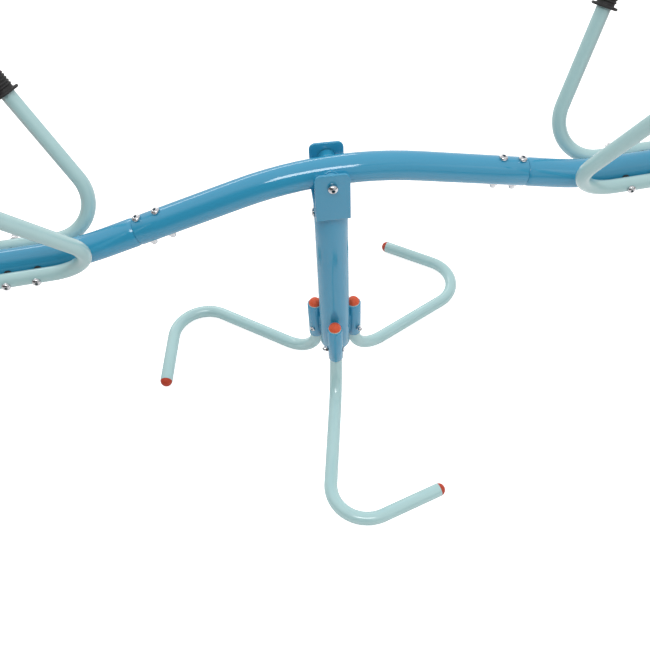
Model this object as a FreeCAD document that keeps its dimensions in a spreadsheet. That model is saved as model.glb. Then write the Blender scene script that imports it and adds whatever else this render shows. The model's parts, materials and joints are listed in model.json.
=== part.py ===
import FreeCAD, Part
import math
import os
import re

import Sketcher
from FreeCAD import Placement, Rotation, Vector

# ---------------------------------------------------------------------------
# Seesaw with a swivelling head on a three-legged stand.
#
# Frame: +Z up, origin on the ground under the column's axis, beam along X.
# The stand is fixed, the head turns about the column's axis and the beam
# rocks on the pivot bolt that runs along Y through the head's two cheeks.
# Lengths are in millimetres and angles in degrees.
# ---------------------------------------------------------------------------

SIZES = {
    # column
    "column_outer": 60.3,
    "column_wall": 3.0,
    "column_foot": 95.0,
    "column_head": 474.2,
    # leg sockets welded round the foot of the column
    "socket_outer": 30.0,
    "socket_foot": 93.0,
    "socket_length": 90.0,
    "weld_bite": 0.15,
    # bent tube legs
    "leg_outer": 25.4,
    "leg_wall": 1.8,
    "leg_proud": 2.5,
    "leg_bend": 77.0,
    "leg_span": 360.0,
    "toe_turn": 117.6,
    "toe_bend": 70.0,
    "toe_length": 235.5,
    "stand_turn": 6.15,
    "splay_front": -4.0,
    "splay_right": 4.1,
    "splay_left": 0.55,
    # domed plugs that close the open tube ends
    "plug_dome": 11.0,
    "plug_inset": 0.3,
    "plug_stem": 14.0,
    # bolts that pin the legs in their sockets
    "leg_bolt": 6.0,
    "leg_bolt_head": 11.0,
    "leg_bolt_dome": 3.3,
    "leg_bolt_level": 118.0,
    "leg_nut_flats": 10.0,
    "leg_nut_height": 5.0,
    "leg_nut_dome": 7.0,
    # swivel bushes in the column and the spindle that turns in them
    "bush_flange": 4.0,
    "upper_bush_length": 60.0,
    "lower_bush_length": 35.0,
    "bush_span": 215.0,
    "spindle_outer": 42.0,
    "spindle_wall": 3.5,
    "running_clearance": 0.08,
    "working_gap": 0.3,
    "spindle_tail": 8.0,
    # screws that hold the spindle down by its groove
    "lock_screw": 8.0,
    "lock_screw_head": 16.0,
    "lock_screw_dome": 3.8,
    "lock_screw_drop": 10.7,
    "groove_depth": 2.0,
    "groove_side_gap": 0.6,
    # folded head
    "head_width": 59.6,
    "head_spread": 87.0,
    "head_plate": 4.0,
    "head_height": 103.5,
    "head_fold": 6.0,
    "head_corner": 12.0,
    # rocking pivot
    "pivot_rise": 77.0,
    "pivot_bolt": 10.0,
    "pivot_bolt_head": 17.5,
    "pivot_bolt_dome": 9.2,
    "pivot_nut_flats": 17.0,
    "pivot_nut_height": 8.0,
    "pivot_nut_dome": 10.0,
    "washer_outer": 20.0,
    "washer_thickness": 2.0,
    "thread_proud": 2.0,
    "spacer_tube_outer": 16.0,
    "sleeve_outer": 30.0,
    "sleeve_wall": 2.3,
    "pivot_bush_flange": 2.0,
    "pivot_bush_rim": 27.0,
    "pivot_bush_length": 25.0,
    # arched beam
    "rest_tilt": 3.9,
    "beam_reach": 938.0,
    "beam_outer": 50.8,
    "beam_wall": 2.5,
    "slope": 15.0,
    "arch_radius": 596.0,
    "centre_run": 190.4,
    "end_run_in": 65.0,
    "end_bend": 375.0,
    "neck_length": 70.0,
    "neck_chamfer": 1.8,
    # bolts that join the beam's three tubes
    "joint_bolt": 8.0,
    "joint_bolt_head": 15.0,
    "joint_bolt_dome": 6.6,
    "joint_first": 11.0,
    "joint_pitch": 36.0,
    "joint_nut_flats": 13.0,
    "joint_nut_height": 6.5,
    "joint_nut_dome": 8.5,
    # handles
    "handle_outer": 25.4,
    "handle_wall": 1.8,
    "handle_offset": 41.0,
    "handle_first": 19.5,
    "handle_pitch": 51.0,
    "handle_lead": 25.0,
    "handle_tail": 31.0,
    "handle_bend": 73.5,
    "handle_rise": 64.9,
    "handle_lean": 22.8,
    "handle_reach": 288.0,
    "saddle_outer": 15.0,
    # grips
    "grip_outer": 34.0,
    "grip_flange": 46.0,
    "grip_flange_width": 5.0,
    "grip_length": 115.0,
    "grip_cap": 6.0,
    # moulded seats
    "seat_inset": 157.0,
    "seat_front": 125.0,
    "seat_dish_start": 40.0,
    "seat_back_radius": 76.0,
    "seat_shell": 9.0,
    "seat_lip": 16.0,
    "seat_front_half": 92.0,
    "seat_back_half": 124.0,
    "seat_corner": 38.0,
    "seat_lift": 5.0,
    "seat_rib_width": 58.0,
    "seat_rib_length": 190.0,
    "seat_rib_drop": 16.0,
    "seat_bolt_pitch": 100.0,
    "seat_bolt_shift": -20.0,
    "seat_bolt_head": 20.0,
    "seat_bolt_dome": 3.5,
    # rubber bumpers
    "bumper_inset": 22.0,
    "bumper_top": 40.0,
    "bumper_foot": 34.0,
    "bumper_height": 45.0,
    "bumper_saddle": 10.0,
    "bumper_pocket": 20.0,
    "bumper_pocket_depth": 14.0,
}

STATIONS = {
    "front": ("270 - stand_turn", "splay_front"),
    "right": ("30 - stand_turn", "splay_right"),
    "left": ("150 - stand_turn", "splay_left"),
}

doc = FreeCAD.newDocument("Seesaw")
sizes = doc.addObject("Spreadsheet::Sheet", "Sizes")
for row, (alias, number) in enumerate(SIZES.items(), start=1):
    sizes.set("A%d" % row, alias)
    sizes.set("B%d" % row, str(number))
    sizes.setAlias("B%d" % row, alias)
doc.recompute()

ALIAS = re.compile(r"\b(%s)\b" % "|".join(SIZES))
LITERAL_HEADINGS = {"0": "Horizontal", "180": "Horizontal", "90": "Vertical", "-90": "Vertical"}
NEAR = 0.01  # edges whose places differ by less are taken as the same
parts = []


# ---------------------------------------------------------------------------
# Helpers
# ---------------------------------------------------------------------------

def value(text):
    """Number that a formula over the sheet's sizes gives."""
    result = sizes.evalExpression(text)
    return float(getattr(result, "Value", result))


def linked(text):
    """The same formula, written for use outside the sheet."""
    return ALIAS.sub(r"Sizes.\1", text)


def sine(angle):
    return "sin((%s) * 1 deg)" % angle


def cosine(angle):
    return "cos((%s) * 1 deg)" % angle


def half_tangent(angle):
    return "tan((%s) * 0.5 deg)" % angle


def new_body(label):
    """PartDesign body that becomes one named piece."""
    body = doc.addObject("PartDesign::Body", label)
    body.Label = label
    return body


def keep(label, piece):
    """Add a finished piece to those that are written out."""
    parts.append((label, piece))
    return piece


def new_sketch(body, name, role, offset=None):
    """Sketch on one of the body's own origin planes."""
    plane = next(item for item in body.Origin.OriginFeatures if item.Role == role)
    sketch = body.newObject("Sketcher::SketchObject", body.Name + "_" + name)
    sketch.AttachmentSupport = [(plane, "")]
    sketch.MapMode = "FlatFace"
    if offset is not None:
        sketch.AttachmentOffset = offset
    return sketch


def tie(sketch, constraint, text, unit=""):
    """Add a constraint whose datum follows the sheet."""
    index = sketch.addConstraint(constraint)
    sketch.setExpression("Constraints[%d]" % index, "(%s)%s" % (linked(text), unit))


def pin_point(sketch, geometry, position, across, up):
    """Hold a sketch point at two distances from the sketch's origin."""
    if across == "0" and up == "0":
        sketch.addConstraint(Sketcher.Constraint("Coincident", geometry, position, -1, 1))
        return
    for kind, text in (("DistanceX", across), ("DistanceY", up)):
        tie(sketch, Sketcher.Constraint(kind, -1, 1, geometry, position, value(text)), text)


def add_circle(sketch, diameter, across="0", up="0"):
    centre = Vector(value(across), value(up), 0)
    circle = sketch.addGeometry(Part.Circle(centre, Vector(0, 0, 1), value(diameter) / 2), False)
    tie(sketch, Sketcher.Constraint("Diameter", circle, value(diameter)), diameter)
    pin_point(sketch, circle, 3, across, up)


def add_outline(sketch, corners):
    """Closed outline of straight edges and arcs.

    Each corner is (across, up) or (across, up, radius): the edge that leaves the
    corner is then an arc of that radius, counter-clockwise, or clockwise if the
    formula starts with a minus sign.
    """
    count = len(corners)
    points = [Vector(value(corner[0]), value(corner[1]), 0) for corner in corners]
    edges = []
    for number, corner in enumerate(corners):
        start, end = points[number], points[(number + 1) % count]
        if len(corner) == 2:
            index = sketch.addGeometry(Part.LineSegment(start, end), False)
            edges.append((index, 1, 2))
            continue
        clockwise = corner[2].startswith("-")
        text = corner[2].lstrip("-")
        radius = value(text)
        chord = end - start
        middle = start + chord * 0.5
        height = math.sqrt(max(radius ** 2 - (chord.Length / 2) ** 2, 0))
        normal = Vector(-chord.y, chord.x, 0).normalize()
        centre = middle - normal * height if clockwise else middle + normal * height
        first, last = (end, start) if clockwise else (start, end)
        angles = [math.atan2(point.y - centre.y, point.x - centre.x) for point in (first, last)]
        if angles[1] < angles[0]:
            angles[1] += 2 * math.pi
        circle = Part.Circle(centre, Vector(0, 0, 1), radius)
        index = sketch.addGeometry(Part.ArcOfCircle(circle, *angles), False)
        tie(sketch, Sketcher.Constraint("Radius", index, radius), text)
        edges.append((index, 2, 1) if clockwise else (index, 1, 2))
    for number, corner in enumerate(corners):
        index, start, end = edges[number]
        following, following_start, _ = edges[(number + 1) % count]
        sketch.addConstraint(
            Sketcher.Constraint("Coincident", index, end, following, following_start))
        pin_point(sketch, index, start, corner[0], corner[1])


def add_path(sketch, start, moves):
    """Open chain of straight runs joined by tangent arcs that all turn the same way.

    A run is ("run", length, heading). A bend is ("bend", radius, heading) with the
    heading that it ends on.
    """
    here = Vector(value(start[0]), value(start[1]), 0)
    into = 0.0
    previous = None
    for kind, measure, heading in moves:
        size = value(measure)
        out = math.radians(value(heading))
        if kind == "run":
            there = here + Vector(math.cos(out), math.sin(out), 0) * size
            index = sketch.addGeometry(Part.LineSegment(here, there), False)
            if heading in LITERAL_HEADINGS:
                sketch.addConstraint(Sketcher.Constraint(LITERAL_HEADINGS[heading], index))
            else:
                tie(sketch, Sketcher.Constraint("Angle", index, out), heading, " * 1 deg")
            tie(sketch, Sketcher.Constraint("Distance", index, size), measure)
        else:
            centre = here + Vector(-math.sin(into), math.cos(into), 0) * size
            opening = into - math.pi / 2
            closing = opening + (out - into) % (2 * math.pi)
            circle = Part.Circle(centre, Vector(0, 0, 1), size)
            index = sketch.addGeometry(Part.ArcOfCircle(circle, opening, closing), False)
            there = centre + Vector(math.cos(closing), math.sin(closing), 0) * size
            tie(sketch, Sketcher.Constraint("Radius", index, size), measure)
            if measure is moves[-1][1]:
                sketch.addConstraint(Sketcher.Constraint("Angle", index, closing - opening))
        if previous is None:
            pin_point(sketch, index, 1, *start)
        else:
            sketch.addConstraint(Sketcher.Constraint("Tangent", previous, 2, index, 1))
        previous, here, into = index, there, out


def add_pad(body, sketch, length, symmetric=False, backwards=False):
    pad = body.newObject("PartDesign::Pad", sketch.Name + "_pad")
    pad.Profile = sketch
    pad.setExpression("Length", linked(length))
    pad.SideType = "Symmetric" if symmetric else "One side"
    pad.Reversed = backwards
    return pad


def add_cut(body, sketch, length):
    """Cut both ways from the sketch's plane, over this whole length."""
    pocket = body.newObject("PartDesign::Pocket", sketch.Name + "_cut")
    pocket.Profile = sketch
    pocket.setExpression("Length", linked(length))
    pocket.SideType = "Symmetric"
    return pocket


def add_revolution(body, sketch, kind="Revolution", axis="V_Axis"):
    turned = body.newObject("PartDesign::" + kind, sketch.Name + "_turned")
    turned.Profile = sketch
    turned.ReferenceAxis = (sketch, [axis])
    turned.Angle = 360
    return turned


def add_tube(body, name, path, edges, outer, wall):
    """Sweep a tube's ring section along a path sketch."""
    ring = body.newObject("Sketcher::SketchObject", body.Name + "_" + name + "_section")
    ring.AttachmentSupport = [(path, "Edge1")]
    ring.MapMode = "NormalToEdge"
    add_circle(ring, outer)
    add_circle(ring, "%s - 2 * %s" % (outer, wall))
    doc.recompute()
    pipe = body.newObject("PartDesign::AdditivePipe", body.Name + "_" + name + "_tube")
    pipe.Profile = ring
    pipe.Spine = (path, ["Edge%d" % (number + 1) for number in range(edges)])
    return pipe


def add_holes(body, name, role, diameter, centres, length, offset=None):
    """Round holes through a piece, square to a plane."""
    sketch = new_sketch(body, name, role, offset)
    for across, up in centres:
        add_circle(sketch, diameter, across, up)
    return add_cut(body, sketch, length)


def add_fillet(body, base, radius, wanted):
    """Round the edges of a feature that pass a test."""
    doc.recompute()
    names = ["Edge%d" % (number + 1)
             for number, edge in enumerate(base.Shape.Edges) if wanted(edge)]
    fillet = body.newObject("PartDesign::Fillet", base.Name + "_rounded")
    fillet.Base = (base, names)
    fillet.setExpression("Radius", linked(radius))
    return fillet


def turned_body(label, corners):
    """Piece turned about its own Z axis from a half section."""
    body = new_body(label)
    sketch = new_sketch(body, "section", "XZ_Plane")
    add_outline(sketch, corners)
    add_revolution(body, sketch)
    return body


def bolt_body(label, shank, head, dome, length):
    """Dome-headed bolt: the underside of its head is at z = 0 and its shank points down."""
    head_rise = "(%s) * 0.4" % dome
    crown = "(%s) * 0.3" % head
    return turned_body(label, [
        ("0", "-(%s)" % length),
        ("(%s) / 2" % shank, "-(%s)" % length),
        ("(%s) / 2" % shank, "0"),
        ("(%s) / 2" % head, "0"),
        ("(%s) / 2" % head, head_rise),
        (crown, dome),
        ("0", dome),
    ])


def add_hexagon(body, bore, flats, height):
    """Hexagon prism on z = 0 round a bore; flats is half the width across them."""
    sketch = new_sketch(body, "section", "XY_Plane")
    add_outline(sketch, [
        ("(%s) / %s * %s" % (flats, cosine("30"), cosine(str(60 * corner))),
         "(%s) / %s * %s" % (flats, cosine("30"), sine(str(60 * corner))))
        for corner in range(6)])
    add_circle(sketch, bore)
    add_pad(body, sketch, height)


def nut_body(label, bore, flats, height):
    """Open hexagon nut that sits on z = 0."""
    body = new_body(label)
    add_hexagon(body, bore, flats, height)
    return body


def cap_nut_body(label, bore, flats, height, dome):
    """Hexagon nut on z = 0, closed over the end of its bolt by a dome."""
    skirt = "(0.95 * %s)" % flats
    depth = "(%s + thread_proud + working_gap)" % height
    shoulder = "(%s + %s - %s)" % (height, dome, skirt)
    body = turned_body(label, [
        ("0", depth),
        ("%s / 2" % bore, depth),
        ("%s / 2" % bore, "0"),
        (skirt, "0"),
        (skirt, shoulder, skirt),
        ("0", "%s + %s" % (height, dome)),
    ])
    add_hexagon(body, bore, flats, height)
    return body


def plug_body(label, outer, wall):
    """Domed plug that closes a tube's end at z = 0."""
    cap = "((%s) / 2 - plug_inset)" % outer
    bore = "((%s) / 2 - (%s))" % (outer, wall)
    return turned_body(label, [
        ("0", "-plug_stem"),
        (bore, "-plug_stem"),
        (bore, "0"),
        (cap, "0", "(%s ^ 2 + plug_dome ^ 2) / (2 * plug_dome)" % cap),
        ("0", "plug_dome"),
    ])


def group(label, master, placements):
    """Several copies of one fastener, kept as separate solids of one piece."""
    doc.recompute()
    copies = []
    for placement in placements:
        copy = master.Shape.copy()
        copy.Placement = placement.multiply(master.Placement)
        copies.append(copy)
    feature = doc.addObject("Part::Feature", label)
    feature.Label = label
    feature.Shape = Part.makeCompound(copies)
    feature.Placement = Placement()
    return keep(label, feature)


def shift(across=0.0, along=0.0, up=0.0):
    return Placement(Vector(across, along, up), Rotation())


def turn(axis, angle):
    return Placement(Vector(), Rotation(axis, angle))


def point_z(direction):
    """Turns a piece's own Z axis to this direction."""
    return Placement(Vector(), Rotation(Vector(0, 0, 1), direction))


def chain(*placements):
    result = Placement()
    for placement in placements:
        result = result.multiply(placement)
    return result


AXIS_X, AXIS_Y, AXIS_Z = Vector(1, 0, 0), Vector(0, 1, 0), Vector(0, 0, 1)

# ---------------------------------------------------------------------------
# Lines and places that several pieces share
# ---------------------------------------------------------------------------

SOCKET_OFFSET = "((column_outer + socket_outer) / 2 - weld_bite)"
LEG_TOP = "(socket_foot + socket_length + leg_proud)"
TOE_TANGENT = "(toe_bend * %s)" % half_tangent("toe_turn")
HEAD_FLOOR = "(column_head + bush_flange + working_gap)"
PIVOT_LEVEL = "(%s + pivot_rise)" % HEAD_FLOOR
SCREW_LEVEL = "(column_head - lock_screw_drop)"
COLUMN_BORE = "(column_outer - 2 * column_wall)"
SPINDLE_FOOT = "(column_head - bush_span - lower_bush_length - spindle_tail)"
CHEEK_GAP = "(head_spread - 2 * head_plate)"
SLEEVE_BORE = "(sleeve_outer - 2 * sleeve_wall)"
SLEEVE_LENGTH = "(%s - 2 * working_gap - 2 * pivot_bush_flange)" % CHEEK_GAP

# centre line of the beam, from the pivot outwards
ARCH_X = "(arch_radius * %s)" % sine("slope")
ARCH_DROP = "(arch_radius * (1 - %s))" % cosine("slope")
SEAM_X = "(%s + centre_run * %s)" % (ARCH_X, cosine("slope"))
SEAM_DROP = "(%s + centre_run * %s)" % (ARCH_DROP, sine("slope"))
RUN_X = "(%s + end_run_in * %s + end_bend * %s)" % (SEAM_X, cosine("slope"), sine("slope"))
RUN_DROP = "(%s + end_run_in * %s + end_bend * (1 - %s))" % (
    SEAM_DROP, sine("slope"), cosine("slope"))
END_RUN = "(beam_reach - %s)" % RUN_X
SEAT_PLACE = "(%s - seat_inset)" % END_RUN
BUMPER_PLACE = "(%s - bumper_inset)" % END_RUN

beam_frame = chain(shift(up=value(PIVOT_LEVEL)), turn(AXIS_Y, -value("rest_tilt")))
side_frames = {"right": beam_frame, "left": chain(beam_frame, turn(AXIS_Z, 180))}


def seam_frame(side):
    """At the joint of the centre tube and an end tube, X down the slope."""
    return chain(side_frames[side], shift(value(SEAM_X), 0, -value(SEAM_DROP)),
                 turn(AXIS_Y, value("slope")))


def run_frame(side):
    """At the start of an end tube's outer run, X outwards along it."""
    return chain(side_frames[side], shift(value(RUN_X), 0, -value(RUN_DROP)))


def socket_frame(name):
    """At the foot of a socket's axis, X away from the column."""
    station, _ = STATIONS[name]
    return chain(turn(AXIS_Z, value(station)), shift(value(SOCKET_OFFSET)))


def leg_frame(name):
    """As the socket's frame, turned by the leg's own splay."""
    return chain(socket_frame(name), turn(AXIS_Z, value(STATIONS[name][1])))


# ---------------------------------------------------------------------------
# Stand
# ---------------------------------------------------------------------------

def make_column():
    body = new_body("column_tube")
    section = new_sketch(body, "section", "XY_Plane", shift(up=value("column_foot")))
    section.setExpression("AttachmentOffset.Base.z", linked("column_foot"))
    add_circle(section, "column_outer")
    add_circle(section, COLUMN_BORE)
    add_pad(body, section, "column_head - column_foot")
    add_holes(body, "screw_holes", "YZ_Plane", "lock_screw", [("0", SCREW_LEVEL)],
              "column_outer * 2")
    keep("column_tube", body)


def make_socket(name):
    """Short tube, coped to the column, that a leg stands in."""
    label = "leg_socket_" + name
    body = new_body(label)
    section = new_sketch(body, "section", "XY_Plane")
    section.setExpression("AttachmentOffset.Base.z", linked("socket_foot"))
    add_circle(section, "socket_outer")
    add_circle(section, "leg_outer")
    add_pad(body, section, "socket_length")
    cope = new_sketch(body, "cope", "XY_Plane")
    add_circle(cope, "column_outer", "-%s" % SOCKET_OFFSET)
    add_cut(body, cope, "4 * (socket_foot + socket_length)")
    add_holes(body, "bolt_hole", "XZ_Plane", "leg_bolt", [("0", "leg_bolt_level")],
              "2 * socket_outer", turn(AXIS_Y, value(STATIONS[name][1])))
    body.Placement = socket_frame(name)
    keep(label, body)


def make_leg(name):
    """Tube that drops from its socket, runs out on the ground and turns into a toe."""
    label = "leg_" + name
    body = new_body(label)
    drop = new_sketch(body, "drop", "XZ_Plane")
    add_path(drop, ("0", LEG_TOP), [
        ("run", "%s - leg_outer / 2 - leg_bend" % LEG_TOP, "-90"),
        ("bend", "leg_bend", "0"),
    ])
    add_tube(body, "drop", drop, 2, "leg_outer", "leg_wall")
    ground = new_sketch(body, "ground", "XY_Plane")
    ground.setExpression("AttachmentOffset.Base.z", linked("leg_outer / 2"))
    add_path(ground, ("leg_bend", "0"), [
        ("run", "leg_span - leg_bend - %s" % TOE_TANGENT, "0"),
        ("bend", "toe_bend", "toe_turn"),
        ("run", "toe_length - %s" % TOE_TANGENT, "toe_turn"),
    ])
    add_tube(body, "ground", ground, 3, "leg_outer", "leg_wall")
    add_holes(body, "bolt_hole", "XZ_Plane", "leg_bolt", [("0", "leg_bolt_level")],
              "2 * leg_outer")
    body.Placement = leg_frame(name)
    keep(label, body)


def make_leg_plugs(name):
    top = plug_body("leg_top_plug_" + name, "leg_outer", "leg_wall")
    top.Placement = chain(leg_frame(name), shift(up=value(LEG_TOP)))
    keep(top.Label, top)
    toe_turn = math.radians(value("toe_turn"))
    heading = Vector(math.cos(toe_turn), math.sin(toe_turn), 0)
    end = Vector(value("leg_span"), 0, value("leg_outer") / 2) + heading * value("toe_length")
    toe = plug_body("leg_toe_plug_" + name, "leg_outer", "leg_wall")
    toe.Placement = chain(leg_frame(name), Placement(end, Rotation()), point_z(heading))
    keep(toe.Label, toe)


def make_leg_bolts():
    """One cross bolt to each leg, with its dome on the side that the toe turns to."""
    half = value("socket_outer") / 2
    level = value("leg_bolt_level")
    bolt = bolt_body("leg_bolt_pattern", "leg_bolt", "leg_bolt_head", "leg_bolt_dome",
                     "socket_outer + leg_nut_height + thread_proud")
    nut = cap_nut_body("leg_nut_pattern", "leg_bolt", "leg_nut_flats / 2", "leg_nut_height",
                       "leg_nut_dome")
    group("leg_bolts", bolt, [
        chain(leg_frame(name), shift(0, half, level), point_z(AXIS_Y)) for name in STATIONS])
    group("leg_nuts", nut, [
        chain(leg_frame(name), shift(0, -half, level), point_z(-AXIS_Y)) for name in STATIONS])


def make_bushes():
    bore = "(spindle_outer / 2 + running_clearance)"
    barrel = "(%s / 2)" % COLUMN_BORE
    upper = turned_body("upper_bush", [
        (bore, "column_head - upper_bush_length"),
        (barrel, "column_head - upper_bush_length"),
        (barrel, "column_head"),
        ("column_outer / 2", "column_head"),
        ("column_outer / 2", "column_head + bush_flange"),
        (bore, "column_head + bush_flange"),
    ])
    add_holes(upper, "screw_holes", "YZ_Plane", "lock_screw", [("0", SCREW_LEVEL)],
              "column_outer * 2")
    keep("upper_bush", upper)
    lower = turned_body("lower_bush", [
        (bore, "column_head - bush_span - lower_bush_length"),
        (barrel, "column_head - bush_span - lower_bush_length"),
        (barrel, "column_head - bush_span"),
        (bore, "column_head - bush_span"),
    ])
    keep("lower_bush", lower)


def make_lock_screws():
    """Two screws through the column and its upper bush, their tips in the spindle's groove."""
    length = "column_outer / 2 - spindle_outer / 2 + groove_depth - groove_side_gap"
    screw = bolt_body("lock_screw_pattern", "lock_screw", "lock_screw_head",
                      "lock_screw_dome", length)
    radius, level = value("column_outer") / 2, value(SCREW_LEVEL)
    group("lock_screws", screw, [
        chain(turn(AXIS_Z, angle), shift(radius, 0, level), point_z(AXIS_X))
        for angle in (0, 180)])


# ---------------------------------------------------------------------------
# Swivelling head
# ---------------------------------------------------------------------------

def make_head():
    """Strip folded into a U: a floor on the spindle and two cheeks for the pivot."""
    body = new_body("pivot_head")
    section = new_sketch(body, "section", "YZ_Plane")
    outer, inner = "(head_spread / 2)", "(head_spread / 2 - head_plate)"
    floor = HEAD_FLOOR
    inner_fold = "(head_fold - head_plate)"
    top = "%s + head_height" % floor
    add_outline(section, [
        ("-%s + head_fold" % outer, floor),
        ("%s - head_fold" % outer, floor, "head_fold"),
        (outer, "%s + head_fold" % floor),
        (outer, top),
        (inner, top),
        (inner, "%s + head_fold" % floor, "-%s" % inner_fold),
        ("%s - %s" % (inner, inner_fold), "%s + head_plate" % floor),
        ("-%s + %s" % (inner, inner_fold), "%s + head_plate" % floor, "-%s" % inner_fold),
        ("-%s" % inner, "%s + head_fold" % floor),
        ("-%s" % inner, top),
        ("-%s" % outer, top),
        ("-%s" % outer, "%s + head_fold" % floor, "head_fold"),
    ])
    folded = add_pad(body, section, "head_width", symmetric=True)
    level = value(top)
    plate = value("head_plate")

    def is_corner(edge):
        box = edge.BoundBox
        return (abs(box.ZMin - level) < NEAR and box.XLength < NEAR and box.ZLength < NEAR
                and abs(box.YLength - plate) < NEAR)

    add_fillet(body, folded, "head_corner", is_corner)
    add_holes(body, "pivot_holes", "XZ_Plane", "pivot_bolt", [("0", PIVOT_LEVEL)],
              "2 * head_spread")
    keep("pivot_head", body)


def make_spindle():
    """Tube welded under the head, grooved for the lock screws."""
    half_groove = "(lock_screw / 2 + groove_side_gap)"
    shaft = "(spindle_outer / 2)"
    neck = "(spindle_outer / 2 - groove_depth)"
    bore = "(spindle_outer / 2 - spindle_wall)"
    body = turned_body("spindle_tube", [
        (bore, SPINDLE_FOOT),
        (shaft, SPINDLE_FOOT),
        (shaft, HEAD_FLOOR),
        (bore, HEAD_FLOOR),
    ])
    groove = new_sketch(body, "groove", "XZ_Plane")
    add_outline(groove, [
        (neck, "%s - %s" % (SCREW_LEVEL, half_groove)),
        ("spindle_outer", "%s - %s" % (SCREW_LEVEL, half_groove)),
        ("spindle_outer", "%s + %s" % (SCREW_LEVEL, half_groove)),
        (neck, "%s + %s" % (SCREW_LEVEL, half_groove)),
    ])
    add_revolution(body, groove, "Groove")
    keep("spindle_tube", body)


def make_pivot():
    """Pivot bolt, its nut and washer, and the spacer that keeps the cheeks apart."""
    half = value("head_spread") / 2
    level = value(PIVOT_LEVEL)
    stack = "washer_thickness + pivot_nut_height + thread_proud"
    bolt = bolt_body("pivot_bolt", "pivot_bolt", "pivot_bolt_head", "pivot_bolt_dome",
                     "head_spread + %s" % stack)
    bolt.Placement = chain(shift(0, -half, level), point_z(-AXIS_Y))
    keep("pivot_bolt", bolt)
    washer = turned_body("pivot_washer", [
        ("pivot_bolt / 2", "0"),
        ("washer_outer / 2", "0"),
        ("washer_outer / 2", "washer_thickness"),
        ("pivot_bolt / 2", "washer_thickness"),
    ])
    washer.Placement = chain(shift(0, half, level), point_z(AXIS_Y))
    keep("pivot_washer", washer)
    nut = cap_nut_body("pivot_nut", "pivot_bolt", "pivot_nut_flats / 2", "pivot_nut_height",
                       "pivot_nut_dome")
    nut.Placement = chain(shift(0, half + value("washer_thickness"), level), point_z(AXIS_Y))
    keep("pivot_nut", nut)
    spacer = turned_body("pivot_spacer_tube", [
        ("pivot_bolt / 2", "-%s / 2" % CHEEK_GAP),
        ("spacer_tube_outer / 2", "-%s / 2" % CHEEK_GAP),
        ("spacer_tube_outer / 2", "%s / 2" % CHEEK_GAP),
        ("pivot_bolt / 2", "%s / 2" % CHEEK_GAP),
    ])
    spacer.Placement = chain(shift(up=level), point_z(AXIS_Y))
    keep("pivot_spacer_tube", spacer)


# ---------------------------------------------------------------------------
# Beam
# ---------------------------------------------------------------------------

def joint_centres():
    """Bolt places of a joint, in from the seam along the slope."""
    return [("-joint_first", "0"), ("-(joint_first + joint_pitch)", "0")]


def make_centre_tube():
    """Arched middle tube, with its two straight ends down the slope."""
    body = new_body("beam_centre_tube")
    path = new_sketch(body, "path", "XZ_Plane")
    add_path(path, (SEAM_X, "-%s" % SEAM_DROP), [
        ("run", "centre_run", "180 - slope"),
        ("bend", "arch_radius", "slope - 180"),
        ("run", "centre_run", "slope - 180"),
    ])
    add_tube(body, "arch", path, 3, "beam_outer", "beam_wall")
    add_holes(body, "sleeve_hole", "XZ_Plane", "sleeve_outer", [("0", "0")], "2 * beam_outer")
    offset = chain(shift(value(SEAM_X), 0, -value(SEAM_DROP)), turn(AXIS_Y, value("slope")))
    holes = add_holes(body, "joint_holes", "XY_Plane", "joint_bolt", joint_centres(),
                      "2 * beam_outer", offset)
    doc.recompute()
    mirrored = body.newObject("PartDesign::Mirrored", body.Name + "_other_end")
    mirrored.Originals = [holes]
    plane = next(item for item in body.Origin.OriginFeatures if item.Role == "YZ_Plane")
    mirrored.MirrorPlane = (plane, [""])
    body.Tip = mirrored
    body.Placement = beam_frame
    keep("beam_centre_tube", body)


def make_cross_sleeve():
    """Sleeve welded across the beam for the pivot bushes."""
    body = turned_body("beam_cross_sleeve", [
        ("%s / 2" % SLEEVE_BORE, "-%s / 2" % SLEEVE_LENGTH),
        ("sleeve_outer / 2", "-%s / 2" % SLEEVE_LENGTH),
        ("sleeve_outer / 2", "%s / 2" % SLEEVE_LENGTH),
        ("%s / 2" % SLEEVE_BORE, "%s / 2" % SLEEVE_LENGTH),
    ])
    body.Placement = chain(beam_frame, point_z(AXIS_Y))
    keep("beam_cross_sleeve", body)


def make_pivot_bush(label, direction):
    """Flanged bush in one end of the cross sleeve."""
    bore = "(spacer_tube_outer / 2 + running_clearance)"
    end = "%s / 2" % SLEEVE_LENGTH
    body = turned_body(label, [
        (bore, "%s - pivot_bush_length" % end),
        ("%s / 2" % SLEEVE_BORE, "%s - pivot_bush_length" % end),
        ("%s / 2" % SLEEVE_BORE, end),
        ("pivot_bush_rim / 2", end),
        ("pivot_bush_rim / 2", "%s + pivot_bush_flange" % end),
        (bore, "%s + pivot_bush_flange" % end),
    ])
    body.Placement = chain(beam_frame, point_z(direction))
    keep(label, body)


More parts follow.
